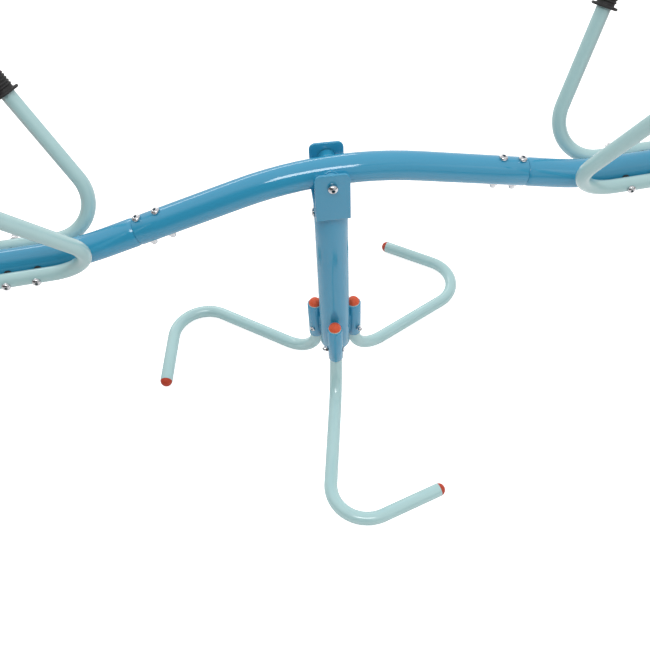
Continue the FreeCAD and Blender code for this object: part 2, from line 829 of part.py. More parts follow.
def make_end_tube(side):
    """End tube: a reduced neck inside the centre tube, then a bend to a level run."""
    label = "beam_end_tube_" + side
    body = new_body(label)
    path = new_sketch(body, "path", "XZ_Plane")
    add_path(path, ("0", "0"), [
        ("run", "end_run_in", "0"),
        ("bend", "end_bend", "slope"),
        ("run", END_RUN, "slope"),
    ])
    main = add_tube(body, "run", path, 3, "beam_outer", "beam_wall")
    doc.recompute()
    rim = value("beam_outer") / 2

    def is_seam_rim(edge):
        box = edge.BoundBox
        return abs(box.XMin) < NEAR and box.XLength < NEAR and abs(box.ZMax - rim) < NEAR

    names = ["Edge%d" % (number + 1)
             for number, edge in enumerate(main.Shape.Edges) if is_seam_rim(edge)]
    shoulder = body.newObject("PartDesign::Chamfer", label + "_shoulder")
    shoulder.Base = (main, names)
    shoulder.setExpression("Size", linked("neck_chamfer"))
    neck = new_sketch(body, "neck", "YZ_Plane")
    add_circle(neck, "beam_outer - 2 * beam_wall")
    add_circle(neck, "beam_outer - 4 * beam_wall")
    add_pad(body, neck, "neck_length", backwards=True)
    collar = new_sketch(body, "collar", "YZ_Plane")
    add_circle(collar, "beam_outer - 2 * beam_wall")
    add_circle(collar, "beam_outer - 4 * beam_wall")
    add_pad(body, collar, "end_run_in / 4")
    add_holes(body, "joint_holes", "XY_Plane", "joint_bolt", joint_centres(), "2 * beam_outer")
    run_start = shift(value("end_run_in") + value("end_bend") * math.sin(math.radians(value("slope"))),
                      0, value("end_bend") * (1 - math.cos(math.radians(value("slope")))))
    level = chain(run_start, turn(AXIS_Y, -value("slope")))
    upright = chain(shift(run_start.Base.x, run_start.Base.z, 0), turn(AXIS_Z, value("slope")))
    add_holes(body, "handle_holes", "XZ_Plane", "joint_bolt",
              [("handle_first", "0"), ("handle_first + handle_pitch", "0")],
              "2 * beam_outer", upright)
    seat = "%s + seat_bolt_shift" % SEAT_PLACE
    add_holes(body, "seat_holes", "XY_Plane", "joint_bolt",
              [("%s - seat_bolt_pitch / 2" % seat, "0"),
               ("%s + seat_bolt_pitch / 2" % seat, "0"),
               (BUMPER_PLACE, "0")],
              "2 * beam_outer", level)
    body.Placement = seam_frame(side)
    keep(label, body)


def make_end_plug(side):
    plug = plug_body("beam_end_plug_" + side, "beam_outer", "beam_wall")
    plug.Placement = chain(run_frame(side), shift(value(END_RUN)), point_z(AXIS_X))
    keep(plug.Label, plug)


def make_joint_bolts():
    half = value("beam_outer") / 2
    bolt = bolt_body("joint_bolt_pattern", "joint_bolt", "joint_bolt_head", "joint_bolt_dome",
                     "beam_outer + joint_nut_height + thread_proud")
    nut = cap_nut_body("joint_nut_pattern", "joint_bolt", "joint_nut_flats / 2",
                       "joint_nut_height", "joint_nut_dome")
    heads, tails = [], []
    for side in ("left", "right"):
        for across, _ in joint_centres():
            heads.append(chain(seam_frame(side), shift(value(across), 0, half)))
            tails.append(chain(seam_frame(side), shift(value(across), 0, -half),
                               point_z(-AXIS_Z)))
    group("joint_bolts", bolt, heads)
    group("joint_nuts", nut, tails)


# ---------------------------------------------------------------------------
# Handles
# ---------------------------------------------------------------------------

HANDLE_TANGENT = "(handle_bend * %s)" % half_tangent("180 - handle_rise")
HANDLE_TOP_X = "(%s * (%s + handle_reach) - handle_lead - %s)" % (
    cosine("handle_rise"), HANDLE_TANGENT, HANDLE_TANGENT)
HANDLE_TOP_Z = "(%s * (%s + handle_reach))" % (sine("handle_rise"), HANDLE_TANGENT)
FLANKS = {"near": -1, "far": 1}


def handle_frame(side, flank):
    """At a handle's first bolt, on the tube's axis, leaning outwards.

    Near and far are seen from the front for both ends, so the left end, which is
    turned half round, swaps them.
    """
    sign = FLANKS[flank] * (1 if side == "right" else -1)
    return sign, chain(run_frame(side),
                       shift(value("handle_first"), sign * value("handle_offset"), 0),
                       turn(AXIS_X, -sign * value("handle_lean")))


def make_handle(side, flank):
    """Tube bolted along the beam, bent up, back and outwards to a grip."""
    label = "handle_%s_%s" % (side, flank)
    sign, frame = handle_frame(side, flank)
    body = new_body(label)
    path = new_sketch(body, "path", "XZ_Plane")
    add_path(path, (HANDLE_TOP_X, HANDLE_TOP_Z), [
        ("run", "handle_reach", "handle_rise - 180"),
        ("bend", "handle_bend", "0"),
        ("run", "handle_lead + handle_pitch + handle_tail", "0"),
    ])
    add_tube(body, "bar", path, 3, "handle_outer", "handle_wall")
    add_holes(body, "bolt_holes", "XZ_Plane", "joint_bolt", [("0", "0"), ("handle_pitch", "0")],
              "4 * handle_outer", turn(AXIS_X, sign * value("handle_lean")))
    body.Placement = frame
    keep(label, body)

    rise = math.radians(value("handle_rise"))
    along = Vector(math.cos(rise), 0, math.sin(rise))
    top = Placement(Vector(value(HANDLE_TOP_X), 0, value(HANDLE_TOP_Z)), Rotation())
    grip = turned_body("grip_%s_%s" % (side, flank), [
        ("handle_outer / 2", "-grip_length"),
        ("grip_flange / 2", "-grip_length"),
        ("grip_flange / 2", "grip_flange_width - grip_length"),
        ("grip_outer / 2", "grip_flange_width - grip_length"),
        ("grip_outer / 2", "0"),
        ("grip_outer / 2 - grip_cap", "grip_cap"),
        ("0", "grip_cap"),
        ("0", "0"),
        ("handle_outer / 2", "0"),
    ])
    grip.Placement = chain(frame, top, point_z(along))
    keep(grip.Label, grip)

    plug = plug_body("handle_plug_%s_%s" % (side, flank), "handle_outer", "handle_wall")
    plug.Placement = chain(frame, shift(value("handle_pitch + handle_tail")), point_z(AXIS_X))
    keep(plug.Label, plug)


def make_saddles():
    """Spacers shaped to the beam on one face and to a handle on the other."""
    body = new_body("handle_saddle_pattern")
    disc = new_sketch(body, "disc", "XZ_Plane")
    disc.setExpression("AttachmentOffset.Base.z", linked("-(beam_outer / 4)"))
    add_circle(disc, "saddle_outer")
    add_circle(disc, "joint_bolt")
    add_pad(body, disc, "handle_offset - beam_outer / 4", backwards=True)
    faces = new_sketch(body, "faces", "YZ_Plane")
    add_circle(faces, "beam_outer")
    add_circle(faces, "handle_outer", "handle_offset")
    add_cut(body, faces, "4 * saddle_outer")
    for side in ("left", "right"):
        places = []
        for across in ("handle_first", "handle_first + handle_pitch"):
            for half_turn in (0, 180):
                places.append(chain(run_frame(side), shift(value(across)),
                                    turn(AXIS_Z, half_turn)))
        group("handle_saddles_" + side, body, places)


def make_handle_bolts():
    half = value("handle_offset + handle_outer / 2")
    bolt = bolt_body("handle_bolt_pattern", "joint_bolt", "joint_bolt_head", "joint_bolt_dome",
                     "2 * handle_offset + handle_outer + joint_nut_height + thread_proud")
    nut = cap_nut_body("handle_nut_pattern", "joint_bolt", "joint_nut_flats / 2",
                       "joint_nut_height", "joint_nut_dome")
    heads, tails = [], []
    for side, near in (("left", 1), ("right", -1)):
        for across in ("handle_first", "handle_first + handle_pitch"):
            heads.append(chain(run_frame(side), shift(value(across), near * half, 0),
                               point_z(AXIS_Y * near)))
            tails.append(chain(run_frame(side), shift(value(across), -near * half, 0),
                               point_z(AXIS_Y * -near)))
    group("handle_bolts", bolt, heads)
    group("handle_nuts", nut, tails)


# ---------------------------------------------------------------------------
# Seats and bumpers
# ---------------------------------------------------------------------------

SEAT_BED = "(beam_outer / 2 + seat_lift)"
SEAT_TOP = "(%s + seat_shell)" % SEAT_BED
SEAT_BACK_X = "(seat_dish_start + seat_back_radius + seat_shell)"


def make_seat(side):
    """Moulded shell with an upswept back, an open underside and a rib that saddles the beam."""
    label = "seat_" + side
    body = new_body(label)
    shell = new_sketch(body, "shell", "XZ_Plane")
    add_outline(shell, [
        ("-seat_front", "%s - seat_lip" % SEAT_TOP),
        ("seat_shell - seat_front", "%s - seat_lip" % SEAT_TOP),
        ("seat_shell - seat_front", SEAT_BED),
        ("seat_dish_start", SEAT_BED, "seat_back_radius + seat_shell"),
        (SEAT_BACK_X, "%s + seat_back_radius" % SEAT_TOP),
        ("%s - seat_shell" % SEAT_BACK_X, "%s + seat_back_radius" % SEAT_TOP,
         "-seat_back_radius"),
        ("seat_dish_start", SEAT_TOP),
        ("-seat_front", SEAT_TOP),
    ])
    add_pad(body, shell, "2 * seat_back_half", symmetric=True)
    rib = new_sketch(body, "rib", "YZ_Plane")
    add_outline(rib, [
        ("-seat_rib_width / 2", "%s - seat_rib_drop" % SEAT_BED),
        ("seat_rib_width / 2", "%s - seat_rib_drop" % SEAT_BED),
        ("seat_rib_width / 2", "%s + seat_shell / 2" % SEAT_BED),
        ("-seat_rib_width / 2", "%s + seat_shell / 2" % SEAT_BED),
    ])
    rib.setExpression("AttachmentOffset.Base.z", linked("seat_bolt_shift"))
    add_pad(body, rib, "seat_rib_length", symmetric=True)
    tube = new_sketch(body, "tube", "YZ_Plane")
    add_circle(tube, "beam_outer")
    add_cut(body, tube, "4 * seat_rib_length")
    outline = new_sketch(body, "outline", "XY_Plane")
    far_x, far_y = "2 * seat_front", "2 * seat_back_half"
    add_outline(outline, [
        ("-(%s)" % far_x, "-(%s)" % far_y),
        (far_x, "-(%s)" % far_y),
        (far_x, far_y),
        ("-(%s)" % far_x, far_y),
    ])
    front_in = "(seat_front_half - seat_corner)"
    back_in = "(seat_back_half - seat_corner)"
    add_outline(outline, [
        ("-seat_front", "-%s" % front_in, "seat_corner * 1.1"),
        ("seat_corner - seat_front", "-seat_front_half"),
        ("%s - seat_corner" % SEAT_BACK_X, "-seat_back_half", "seat_corner"),
        (SEAT_BACK_X, "-%s" % back_in),
        (SEAT_BACK_X, back_in, "seat_corner"),
        ("%s - seat_corner" % SEAT_BACK_X, "seat_back_half"),
        ("seat_corner - seat_front", "seat_front_half", "seat_corner * 1.1"),
        ("-seat_front", front_in),
    ])
    add_cut(body, outline, "4 * (%s + seat_back_radius)" % SEAT_TOP)
    add_holes(body, "bolt_holes", "XY_Plane", "joint_bolt",
              [("seat_bolt_shift - seat_bolt_pitch / 2", "0"),
               ("seat_bolt_shift + seat_bolt_pitch / 2", "0")],
              "4 * (%s + seat_back_radius)" % SEAT_TOP)
    body.Placement = chain(run_frame(side), shift(value(SEAT_PLACE)))
    keep(label, body)


def make_seat_bolts():
    bolt = bolt_body("seat_bolt_pattern", "joint_bolt", "seat_bolt_head", "seat_bolt_dome",
                     "%s + beam_outer / 2 + joint_nut_height + thread_proud" % SEAT_TOP)
    nut = cap_nut_body("seat_nut_pattern", "joint_bolt", "joint_nut_flats / 2",
                       "joint_nut_height", "joint_nut_dome")
    heads, tails = [], []
    for side in ("left", "right"):
        for step in (-0.5, 0.5):
            across = value("%s + seat_bolt_shift" % SEAT_PLACE) + step * value("seat_bolt_pitch")
            heads.append(chain(run_frame(side), shift(across, 0, value(SEAT_TOP))))
            tails.append(chain(run_frame(side), shift(across, 0, -value("beam_outer") / 2),
                               point_z(-AXIS_Z)))
    group("seat_bolts", bolt, heads)
    group("seat_nuts", nut, tails)


def make_bumper(side):
    """Tapered rubber block under the beam's end, with a pocket for its nut."""
    saddle = "(bumper_saddle - beam_outer / 2)"
    foot = "-(beam_outer / 2 + bumper_height)"
    body = turned_body("bumper_" + side, [
        ("joint_bolt / 2", "%s + bumper_pocket_depth" % foot),
        ("bumper_pocket / 2", "%s + bumper_pocket_depth" % foot),
        ("bumper_pocket / 2", foot),
        ("bumper_foot / 2", foot),
        ("bumper_top / 2", saddle),
        ("joint_bolt / 2", saddle),
    ])
    tube = new_sketch(body, "tube", "YZ_Plane")
    add_circle(tube, "beam_outer")
    add_cut(body, tube, "4 * bumper_top")
    body.Placement = chain(run_frame(side), shift(value(BUMPER_PLACE)))
    keep(body.Label, body)


def make_bumper_bolts():
    grip = "bumper_height - bumper_pocket_depth"
    bolt = bolt_body("bumper_bolt_pattern", "joint_bolt", "joint_bolt_head", "joint_bolt_dome",
                     "beam_outer + %s + joint_nut_height" % grip)
    nut = nut_body("bumper_nut_pattern", "joint_bolt", "joint_nut_flats / 2", "joint_nut_height")
    heads, tails = [], []
    for side in ("left", "right"):
        across = value(BUMPER_PLACE)
        heads.append(chain(run_frame(side), shift(across, 0, value("beam_outer / 2"))))
        tails.append(chain(run_frame(side),
                           shift(across, 0, -value("beam_outer / 2 + %s" % grip)),
                           point_z(-AXIS_Z)))
    group("bumper_bolts", bolt, heads)
    group("bumper_nuts", nut, tails)


# ---------------------------------------------------------------------------
# Build, check and write
# ---------------------------------------------------------------------------

make_column()
for station_name in STATIONS:
    make_socket(station_name)
    make_leg(station_name)
    make_leg_plugs(station_name)
make_leg_bolts()
make_bushes()
make_lock_screws()

make_head()
make_spindle()
make_pivot()

make_centre_tube()
make_cross_sleeve()
make_pivot_bush("pivot_bush_near", -AXIS_Y)
make_pivot_bush("pivot_bush_far", AXIS_Y)
for end in ("left", "right"):
    make_end_tube(end)
    make_end_plug(end)
    for flank_name in FLANKS:
        make_handle(end, flank_name)
    make_seat(end)
    make_bumper(end)
make_joint_bolts()
make_saddles()
make_handle_bolts()
make_seat_bolts()
make_bumper_bolts()

doc.recompute()

faults = []
for item in doc.Objects:
    if "Invalid" in item.State or "Error" in item.State:
        faults.append("%s: %s" % (item.Label, item.State))
for label, piece in parts:
    if piece.Shape.isNull() or not piece.Shape.isValid() or not piece.Shape.Solids:
        faults.append("%s has no valid solid" % label)
if faults:
    raise RuntimeError("; ".join(faults))

os.makedirs("parts", exist_ok=True)
for label, piece in parts:
    piece.Shape.exportStep("parts/%s.step" % label)
    print("%-26s %2d solid(s) %10.1f mm3" % (label, len(piece.Shape.Solids), piece.Shape.Volume))
print(len(parts), "pieces")
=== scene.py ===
"""Dressed model of a swivelling seesaw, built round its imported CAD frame.

The heights of the pivot, of the column's top and of the head's floor are read
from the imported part; the other sizes are written here as the CAD model has them.
Smooth tubes, formed plates, fasteners and moulded pieces then stand for the CAD
nodes that they replace.
"""

from __future__ import annotations

import json
import logging
import math
from dataclasses import dataclass, field
from enum import Enum
from typing import Callable, Iterable, Sequence, Union

import bmesh
import bpy
from mathutils import Matrix, Vector

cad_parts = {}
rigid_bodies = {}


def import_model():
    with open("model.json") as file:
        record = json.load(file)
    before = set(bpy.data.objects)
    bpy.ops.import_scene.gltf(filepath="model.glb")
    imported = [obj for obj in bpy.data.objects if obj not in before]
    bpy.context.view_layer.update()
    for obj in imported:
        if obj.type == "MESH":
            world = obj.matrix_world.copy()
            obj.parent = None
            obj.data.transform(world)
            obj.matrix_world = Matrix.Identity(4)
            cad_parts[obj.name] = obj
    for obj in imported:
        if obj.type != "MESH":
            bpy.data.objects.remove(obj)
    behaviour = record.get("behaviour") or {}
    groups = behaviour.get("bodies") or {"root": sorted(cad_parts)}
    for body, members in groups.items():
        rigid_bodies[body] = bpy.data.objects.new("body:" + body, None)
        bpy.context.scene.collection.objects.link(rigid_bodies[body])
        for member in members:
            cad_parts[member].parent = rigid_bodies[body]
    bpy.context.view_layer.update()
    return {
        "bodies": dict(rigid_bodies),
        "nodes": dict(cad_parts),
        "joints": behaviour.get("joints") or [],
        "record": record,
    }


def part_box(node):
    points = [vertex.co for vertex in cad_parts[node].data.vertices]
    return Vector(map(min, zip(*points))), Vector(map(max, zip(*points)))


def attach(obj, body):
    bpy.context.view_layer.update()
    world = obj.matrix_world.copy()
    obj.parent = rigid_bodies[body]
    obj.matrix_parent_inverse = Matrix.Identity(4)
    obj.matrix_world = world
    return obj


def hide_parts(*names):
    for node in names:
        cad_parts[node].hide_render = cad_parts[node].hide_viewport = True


LOG = logging.getLogger("seesaw")
FRAME: dict = {}
MM = 0.001
AXIS_X, AXIS_Y, AXIS_Z = Vector((1, 0, 0)), Vector((0, 1, 0)), Vector((0, 0, 1))


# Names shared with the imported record

class Slot(str, Enum):
    """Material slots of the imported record."""

    BLUE = "blue_paint"
    MINT = "mint_paint"
    ORANGE = "orange_plastic"
    NYLON = "black_plastic"
    RUBBER = "black_rubber"
    STEEL = "bright_steel"


class Body(str, Enum):
    """Rigid bodies that pieces ride on."""

    STAND = "stand"
    HEAD = "swivel_head"
    BEAM = "beam"


class Form(Enum):
    """Cross-section of a ring in an outline."""

    ROUND = "round"
    HEX = "hex"


# Sizes, in millimetres and degrees; rims, welds and necks are detail on the CAD shapes

@dataclass(frozen=True)
class PlugSizes:
    """Domed plug of an open tube end."""

    inset: float = 0.3
    dome: float = 11.0
    stem: float = 14.0


@dataclass(frozen=True)
class BoltSizes:
    """Dome-headed bolt: radii, height of its dome and flats of its key."""

    shank: float
    head: float
    dome: float
    key: float


@dataclass(frozen=True)
class NutSizes:
    """Hexagon nut closed by a dome; flats is half the width across them."""

    flats: float
    height: float
    dome: float


@dataclass(frozen=True)
class StandSizes:
    """Column, sockets and legs."""

    column_radius: float = 30.15
    column_wall: float = 3.0
    socket_radius: float = 15.0
    socket_wall: float = 2.2
    socket_foot: float = 93.0
    socket_length: float = 90.0
    socket_offset: float = 45.0
    leg_radius: float = 12.7
    leg_wall: float = 1.8
    leg_proud: float = 2.5
    leg_bend: float = 77.0
    leg_span: float = 360.0
    toe_turn: float = 117.6
    toe_bend: float = 70.0
    toe_length: float = 235.5
    stand_turn: float = 6.15
    bolt_level: float = 118.0
    screw_drop: float = 10.7
    splay: tuple[tuple[str, float, float], ...] = (
        ("front", 270.0, -4.0), ("right", 30.0, 4.1), ("left", 150.0, 0.55))
    weld_foot: float = 17.0
    weld_top: float = 25.0
    weld_half: float = 7.2
    weld_radius: float = 1.7


@dataclass(frozen=True)
class HeadSizes:
    """Folded head and its pivot."""

    width: float = 59.6
    spread: float = 87.0
    plate: float = 4.0
    height: float = 103.5
    fold: float = 6.0
    corner: float = 12.0
    washer: float = 2.0
    rim: float = 0.9


@dataclass(frozen=True)
class BeamSizes:
    """Arched beam and what is fixed to it."""

    tilt: float = 3.9
    reach: float = 938.0
    radius: float = 25.4
    wall: float = 2.5
    slope: float = 15.0
    arch_radius: float = 596.0
    centre_run: float = 190.4
    end_run_in: float = 65.0
    end_bend: float = 375.0
    sleeve_radius: float = 15.0
    sleeve_wall: float = 2.3
    sleeve_length: float = 74.4
    joint_first: float = 11.0
    joint_pitch: float = 36.0
    neck_inside: float = 20.0
    neck_gap: float = 1.3
    neck_step: float = 0.8
    neck_draw: float = 9.0
    rim: float = 0.7
    weld_radius: float = 1.9

    @property
    def seam(self) -> tuple[float, float]:
        """Place of the joint with an end tube, from the pivot.

        Returns:
            Distances across and up.
        """
        turn = math.radians(self.slope)
        return (self.arch_radius * math.sin(turn) + self.centre_run * math.cos(turn),
                -self.arch_radius * (1 - math.cos(turn)) - self.centre_run * math.sin(turn))

    @property
    def run(self) -> tuple[float, float]:
        """Start of an end tube's level run, from the pivot.

        Returns:
            Distances across and up.
        """
        turn = math.radians(self.slope)
        return (self.seam[0] + self.end_run_in * math.cos(turn) + self.end_bend * math.sin(turn),
                self.seam[1] - self.end_run_in * math.sin(turn)
                - self.end_bend * (1 - math.cos(turn)))

    @property
    def end_run(self) -> float:
        """Length of an end tube's level run."""
        return self.reach - self.run[0]


@dataclass(frozen=True)
class HandleSizes:
    """Bent handle tubes, their spacers and grips."""

    radius: float = 12.7
    wall: float = 1.8
    offset: float = 41.0
    first: float = 19.5
    pitch: float = 51.0
    lead: float = 25.0
    tail: float = 31.0
    bend: float = 73.5
    rise: float = 64.9
    lean: float = 22.8
    reach: float = 288.0
    spacer_radius: float = 7.5
    grip_length: float = 115.0
    grip_radius: float = 17.0
    flange_radius: float = 23.0
    flange_width: float = 5.0
    grip_cap: float = 6.0
    rib_pitch: float = 5.2
    rib_depth: float = 1.6
    spacer_bore: float = 4.1


@dataclass(frozen=True)
class SeatSizes:
    """Moulded seat and the rib that carries it on the beam."""

    inset: float = 157.0
    front: float = 125.0
    dish_start: float = 40.0
    back_radius: float = 76.0
    shell: float = 9.0
    lip: float = 16.0
    front_half: float = 92.0
    back_half: float = 124.0
    corner: float = 38.0
    lift: float = 5.0
    rib_width: float = 58.0
    rib_length: float = 190.0
    rib_drop: float = 16.0
    bolt_pitch: float = 100.0
    bolt_shift: float = -20.0
    lip_bend: float = 9.0
    edge_drop: float = 3.2


@dataclass(frozen=True)
class BumperSizes:
    """Tapered rubber block under each end of the beam."""

    inset: float = 22.0
    top: float = 20.0
    foot: float = 17.0
    height: float = 45.0
    pocket: float = 10.0
    pocket_depth: float = 14.0
    bore: float = 4.1
    rim: float = 1.6
    top_rim: float = 0.8


PLUG, STAND, HEAD, BEAM = PlugSizes(), StandSizes(), HeadSizes(), BeamSizes()
HANDLE, SEAT, BUMPER = HandleSizes(), SeatSizes(), BumperSizes()
LEG_BOLT, LEG_NUT = BoltSizes(3.0, 5.5, 3.3, 4.0), NutSizes(5.0, 5.0, 7.0)
LOCK_SCREW = BoltSizes(4.0, 8.0, 3.8, 5.0)
PIVOT_BOLT, PIVOT_NUT = BoltSizes(5.0, 8.75, 9.2, 6.0), NutSizes(8.5, 8.0, 10.0)
JOINT_BOLT, JOINT_NUT = BoltSizes(4.0, 7.5, 6.6, 5.0), NutSizes(6.5, 6.5, 8.5)
SEAT_BOLT = BoltSizes(4.0, 10.0, 3.5, 5.0)
NUT_BORE = 3.9
SEATING_GAP = 0.05
SIDES = ("left", "right")


# Placing

def shift(x: float = 0.0, y: float = 0.0, z: float = 0.0) -> Matrix:
    """Translation given in millimetres."""
    return Matrix.Translation(Vector((x, y, z)) * MM)


def turn(axis: Vector, degrees: float) -> Matrix:
    """Rotation about an axis through the origin."""
    return Matrix.Rotation(math.radians(degrees), 4, axis)


def point_z(direction: Vector) -> Matrix:
    """Rotation that takes +Z to a direction."""
    return AXIS_Z.rotation_difference(direction).to_matrix().to_4x4()


@dataclass(frozen=True)
class Places:
    """Frames of the object's sub-assemblies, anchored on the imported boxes."""

    pivot: float
    column_top: float
    head_floor: float

    @staticmethod
    def read() -> "Places":
        """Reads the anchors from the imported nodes.

        Returns:
            Heights in millimetres of the pivot, the column's top and the head's floor.
        """
        low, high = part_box("pivot_spacer_tube")
        head_low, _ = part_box("pivot_head")
        _, column_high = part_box("column_tube")
        return Places((low[2] + high[2]) / 2 / MM, column_high[2] / MM, head_low[2] / MM)

    def socket(self, station: float) -> Matrix:
        """Foot of a socket's axis, X away from the column."""
        return turn(AXIS_Z, station - STAND.stand_turn) @ shift(STAND.socket_offset)

    def leg(self, station: float, splay: float) -> Matrix:
        """A socket's frame turned by the leg's own splay."""
        return self.socket(station) @ turn(AXIS_Z, splay)

    @property
    def beam(self) -> Matrix:
        """Pivot's centre, X along the tilted beam."""
        return shift(z=self.pivot) @ turn(AXIS_Y, -BEAM.tilt)

    def end(self, side: str) -> Matrix:
        """The beam's frame with X towards one end."""
        return self.beam @ (turn(AXIS_Z, 180) if side == "left" else Matrix.Identity(4))

    def seam(self, side: str) -> Matrix:
        """Joint of the centre tube and an end tube, X down the slope."""
        return self.end(side) @ shift(BEAM.seam[0], 0, BEAM.seam[1]) @ turn(AXIS_Y, BEAM.slope)

    def level(self, side: str) -> Matrix:
        """Start of an end tube's level run, X outwards."""
        return self.end(side) @ shift(BEAM.run[0], 0, BEAM.run[1])


# Routes and lofts

@dataclass
class Route:
    """Centre line of straight runs and tangent bends, in millimetres."""

    start: Vector
    heading: Vector
    side: Vector
    length: float = 0.0
    pieces: list[tuple] = field(default_factory=list)
    end: tuple[Vector, Vector, Vector] = field(init=False)

    def __post_init__(self) -> None:
        """Puts the route's end where it starts."""
        self.end = (self.start.copy(), self.heading.normalized(), self.side.normalized())

    def run(self, length: float) -> "Route":
        """Adds a straight run.

        Args:
            length: Length of the run.

        Returns:
            The route.
        """
        point, heading, side = self.end
        self.pieces.append((self.length, length, self.end, None))
        self.length += length
        self.end = (point + heading * length, heading, side)
        return self

    def bend(self, radius: float, degrees: float, axis: Vector) -> "Route":
        """Adds a bend.

        Args:
            radius: Radius of the centre line.
            degrees: How far the heading turns.
            axis: Axis that it turns about.

        Returns:
            The route.
        """
        length = math.radians(degrees) * radius
        self.pieces.append((self.length, length, self.end, (radius, axis.normalized())))
        self.end = self.at(self.length + length)
        self.length += length
        return self

    def at(self, distance: float) -> tuple[Vector, Vector, Vector]:
        """Finds a place on the route.

        Args:
            distance: Distance along the route.

        Returns:
            Point, heading and side vector there.
        """
        chosen = self.pieces[0]
        for piece in self.pieces:
            if distance >= piece[0] - 1e-9:
                chosen = piece
        begin, _, (point, heading, side), bend = chosen
        travelled = distance - begin
        if bend is None:
            return point + heading * travelled, heading, side
        radius, axis = bend
        centre = point + axis.cross(heading) * radius
        spin = Matrix.Rotation(travelled / radius, 3, axis)
        return centre + spin @ (point - centre), spin @ heading, spin @ side

    def marks(self, degrees: float = 2.5, longest: float = 60.0) -> list[float]:
        """Finds where a smooth sweep needs a ring.

        Args:
            degrees: Largest turn between rings on a bend.
            longest: Largest distance between rings on a run.

        Returns:
            Distances along the route.
        """
        found = [0.0]
        for begin, length, _, bend in self.pieces:
            step = math.radians(degrees) * bend[0] if bend else longest
            count = max(1, math.ceil(length / step))
            found += [begin + length * (k + 1) / count for k in range(count)]
        return found


Ring = tuple[float, float, Form]


def hex_factor(angle: float) -> float:
    """Radius of a unit-cornered hexagon in a direction."""
    return math.cos(math.pi / 6) / math.cos((angle % (math.pi / 3)) - math.pi / 6)


def angles(count: int) -> list[float]:
    """Evenly spaced directions round a full turn."""
    return [2 * math.pi * k / count for k in range(count)]


class Shape:
    """Mesh of one piece, collected ring by ring."""

    def __init__(self) -> None:
        """Starts without points or faces."""
        self.points: list[Vector] = []
        self.faces: list[tuple[int, ...]] = []

    def ring(self, points: Iterable[Vector]) -> list[int]:
        """Adds a ring.

        Args:
            points: Its points in order, in millimetres.

        Returns:
            Their numbers in the mesh.
        """
        first = len(self.points)
        self.points += [point * MM for point in points]
        return list(range(first, len(self.points)))

    def bridge(self, one: Sequence[int], two: Sequence[int]) -> None:
        """Joins two rings by faces.

        Args:
            one: Numbers of the first ring; a single number is a pole.
            two: Numbers of the second ring.
        """
        if len(one) == 1 and len(two) == 1:
            return
        count = max(len(one), len(two))
        for k in range(count):
            j = (k + 1) % count
            if len(one) == 1:
                self.faces.append((one[0], two[k], two[j]))
            elif len(two) == 1:
                self.faces.append((one[k], one[j], two[0]))
            else:
                self.faces.append((one[k], one[j], two[j], two[k]))

    def loft(self, rings: Sequence[Sequence[Vector]], closed: bool = False,
             capped: bool = False) -> "Shape":
        """Joins a series of rings.

        Args:
            rings: The rings in order.
            closed: The series ends where it began.
            capped: A face closes the first ring and the last.

        Returns:
            The shape.
        """
        numbers = [self.ring(ring) for ring in rings]
        for one, two in zip(numbers, numbers[1:]):
            self.bridge(one, two)
        if closed:
            self.bridge(numbers[-1], numbers[0])
        if capped:
            self.faces += [tuple(numbers[0]), tuple(reversed(numbers[-1]))]
        return self

    def sweep(self, route: Route, outline: Sequence[Ring], sides: int = 48,
              closed: bool = False) -> "Shape":
        """Turns an outline about a route.

        Args:
            route: Centre line.
            outline: Distance, radius and form of each ring.
            sides: Points in a ring.
            closed: The outline ends where it began.

        Returns:
            The shape.
        """
        rings = []
        for distance, radius, form in outline:
            point, heading, side = route.at(distance)
            other = heading.cross(side)
            if radius <= 1e-6:
                rings.append([point])
                continue
            rings.append([point + (side * math.cos(a) + other * math.sin(a))
                          * (radius * (hex_factor(a) if form is Form.HEX else 1.0))
                          for a in angles(sides)])
        return self.loft(rings, closed)

    def place(self, matrix: Matrix) -> "Shape":
        """Moves what has been collected so far."""
        self.points = [matrix @ point for point in self.points]
        return self

    def join(self, other: "Shape") -> "Shape":
        """Adds another shape's mesh.

        Args:
            other: The shape to add.

        Returns:
            This shape.
        """
        first = len(self.points)
        self.points += other.points
        self.faces += [tuple(k + first for k in face) for face in other.faces]
        return self

    def piece(self, name: str, finish: "Finish", body: Body, replaces: Sequence[str] = (),
              sharp: float = 40.0) -> bpy.types.Object:
        """Makes the Blender object, gives it its finish and rides it on a body.

        Args:
            name: Name of the new object.
            finish: Surface finish.
            body: CAD body that it moves with.
            replaces: CAD nodes that it stands for.
            sharp: Angle in degrees above which an edge is not smoothed.

        Returns:
            The new object.
        """
        mesh = bpy.data.meshes.new(name)
        mesh.from_pydata([tuple(point) for point in self.points], [], self.faces)
        work = bmesh.new()
        work.from_mesh(mesh)
        bmesh.ops.recalc_face_normals(work, faces=work.faces)
        work.to_mesh(mesh)
        work.free()
        for polygon in mesh.polygons:
            polygon.use_smooth = True
        mesh.set_sharp_from_angle(angle=math.radians(sharp))
        thing = bpy.data.objects.new(name, mesh)
        bpy.context.scene.collection.objects.link(thing)
        mesh.materials.append(finish.material())
        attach(thing, body.value)
        if replaces:
            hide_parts(*replaces)
        return thing


def rounds(outline: Iterable[tuple[float, float]]) -> list[Ring]:
    """Outline whose rings are all round."""
    return [(distance, radius, Form.ROUND) for distance, radius in outline]


def arc(centre: tuple[float, float], radius: float, start: float, stop: float,
        count: int) -> list[tuple[float, float]]:
    """Divides an arc in an outline's plane.

    Args:
        centre: Centre of the arc.
        radius: Its radius.
        start: First angle in degrees.
        stop: Last angle in degrees.
        count: Number of steps.

    Returns:
        Points along the arc.
    """
    spread = [math.radians(start + (stop - start) * k / count) for k in range(count + 1)]
    return [(centre[0] + radius * math.cos(a), centre[1] + radius * math.sin(a)) for a in spread]


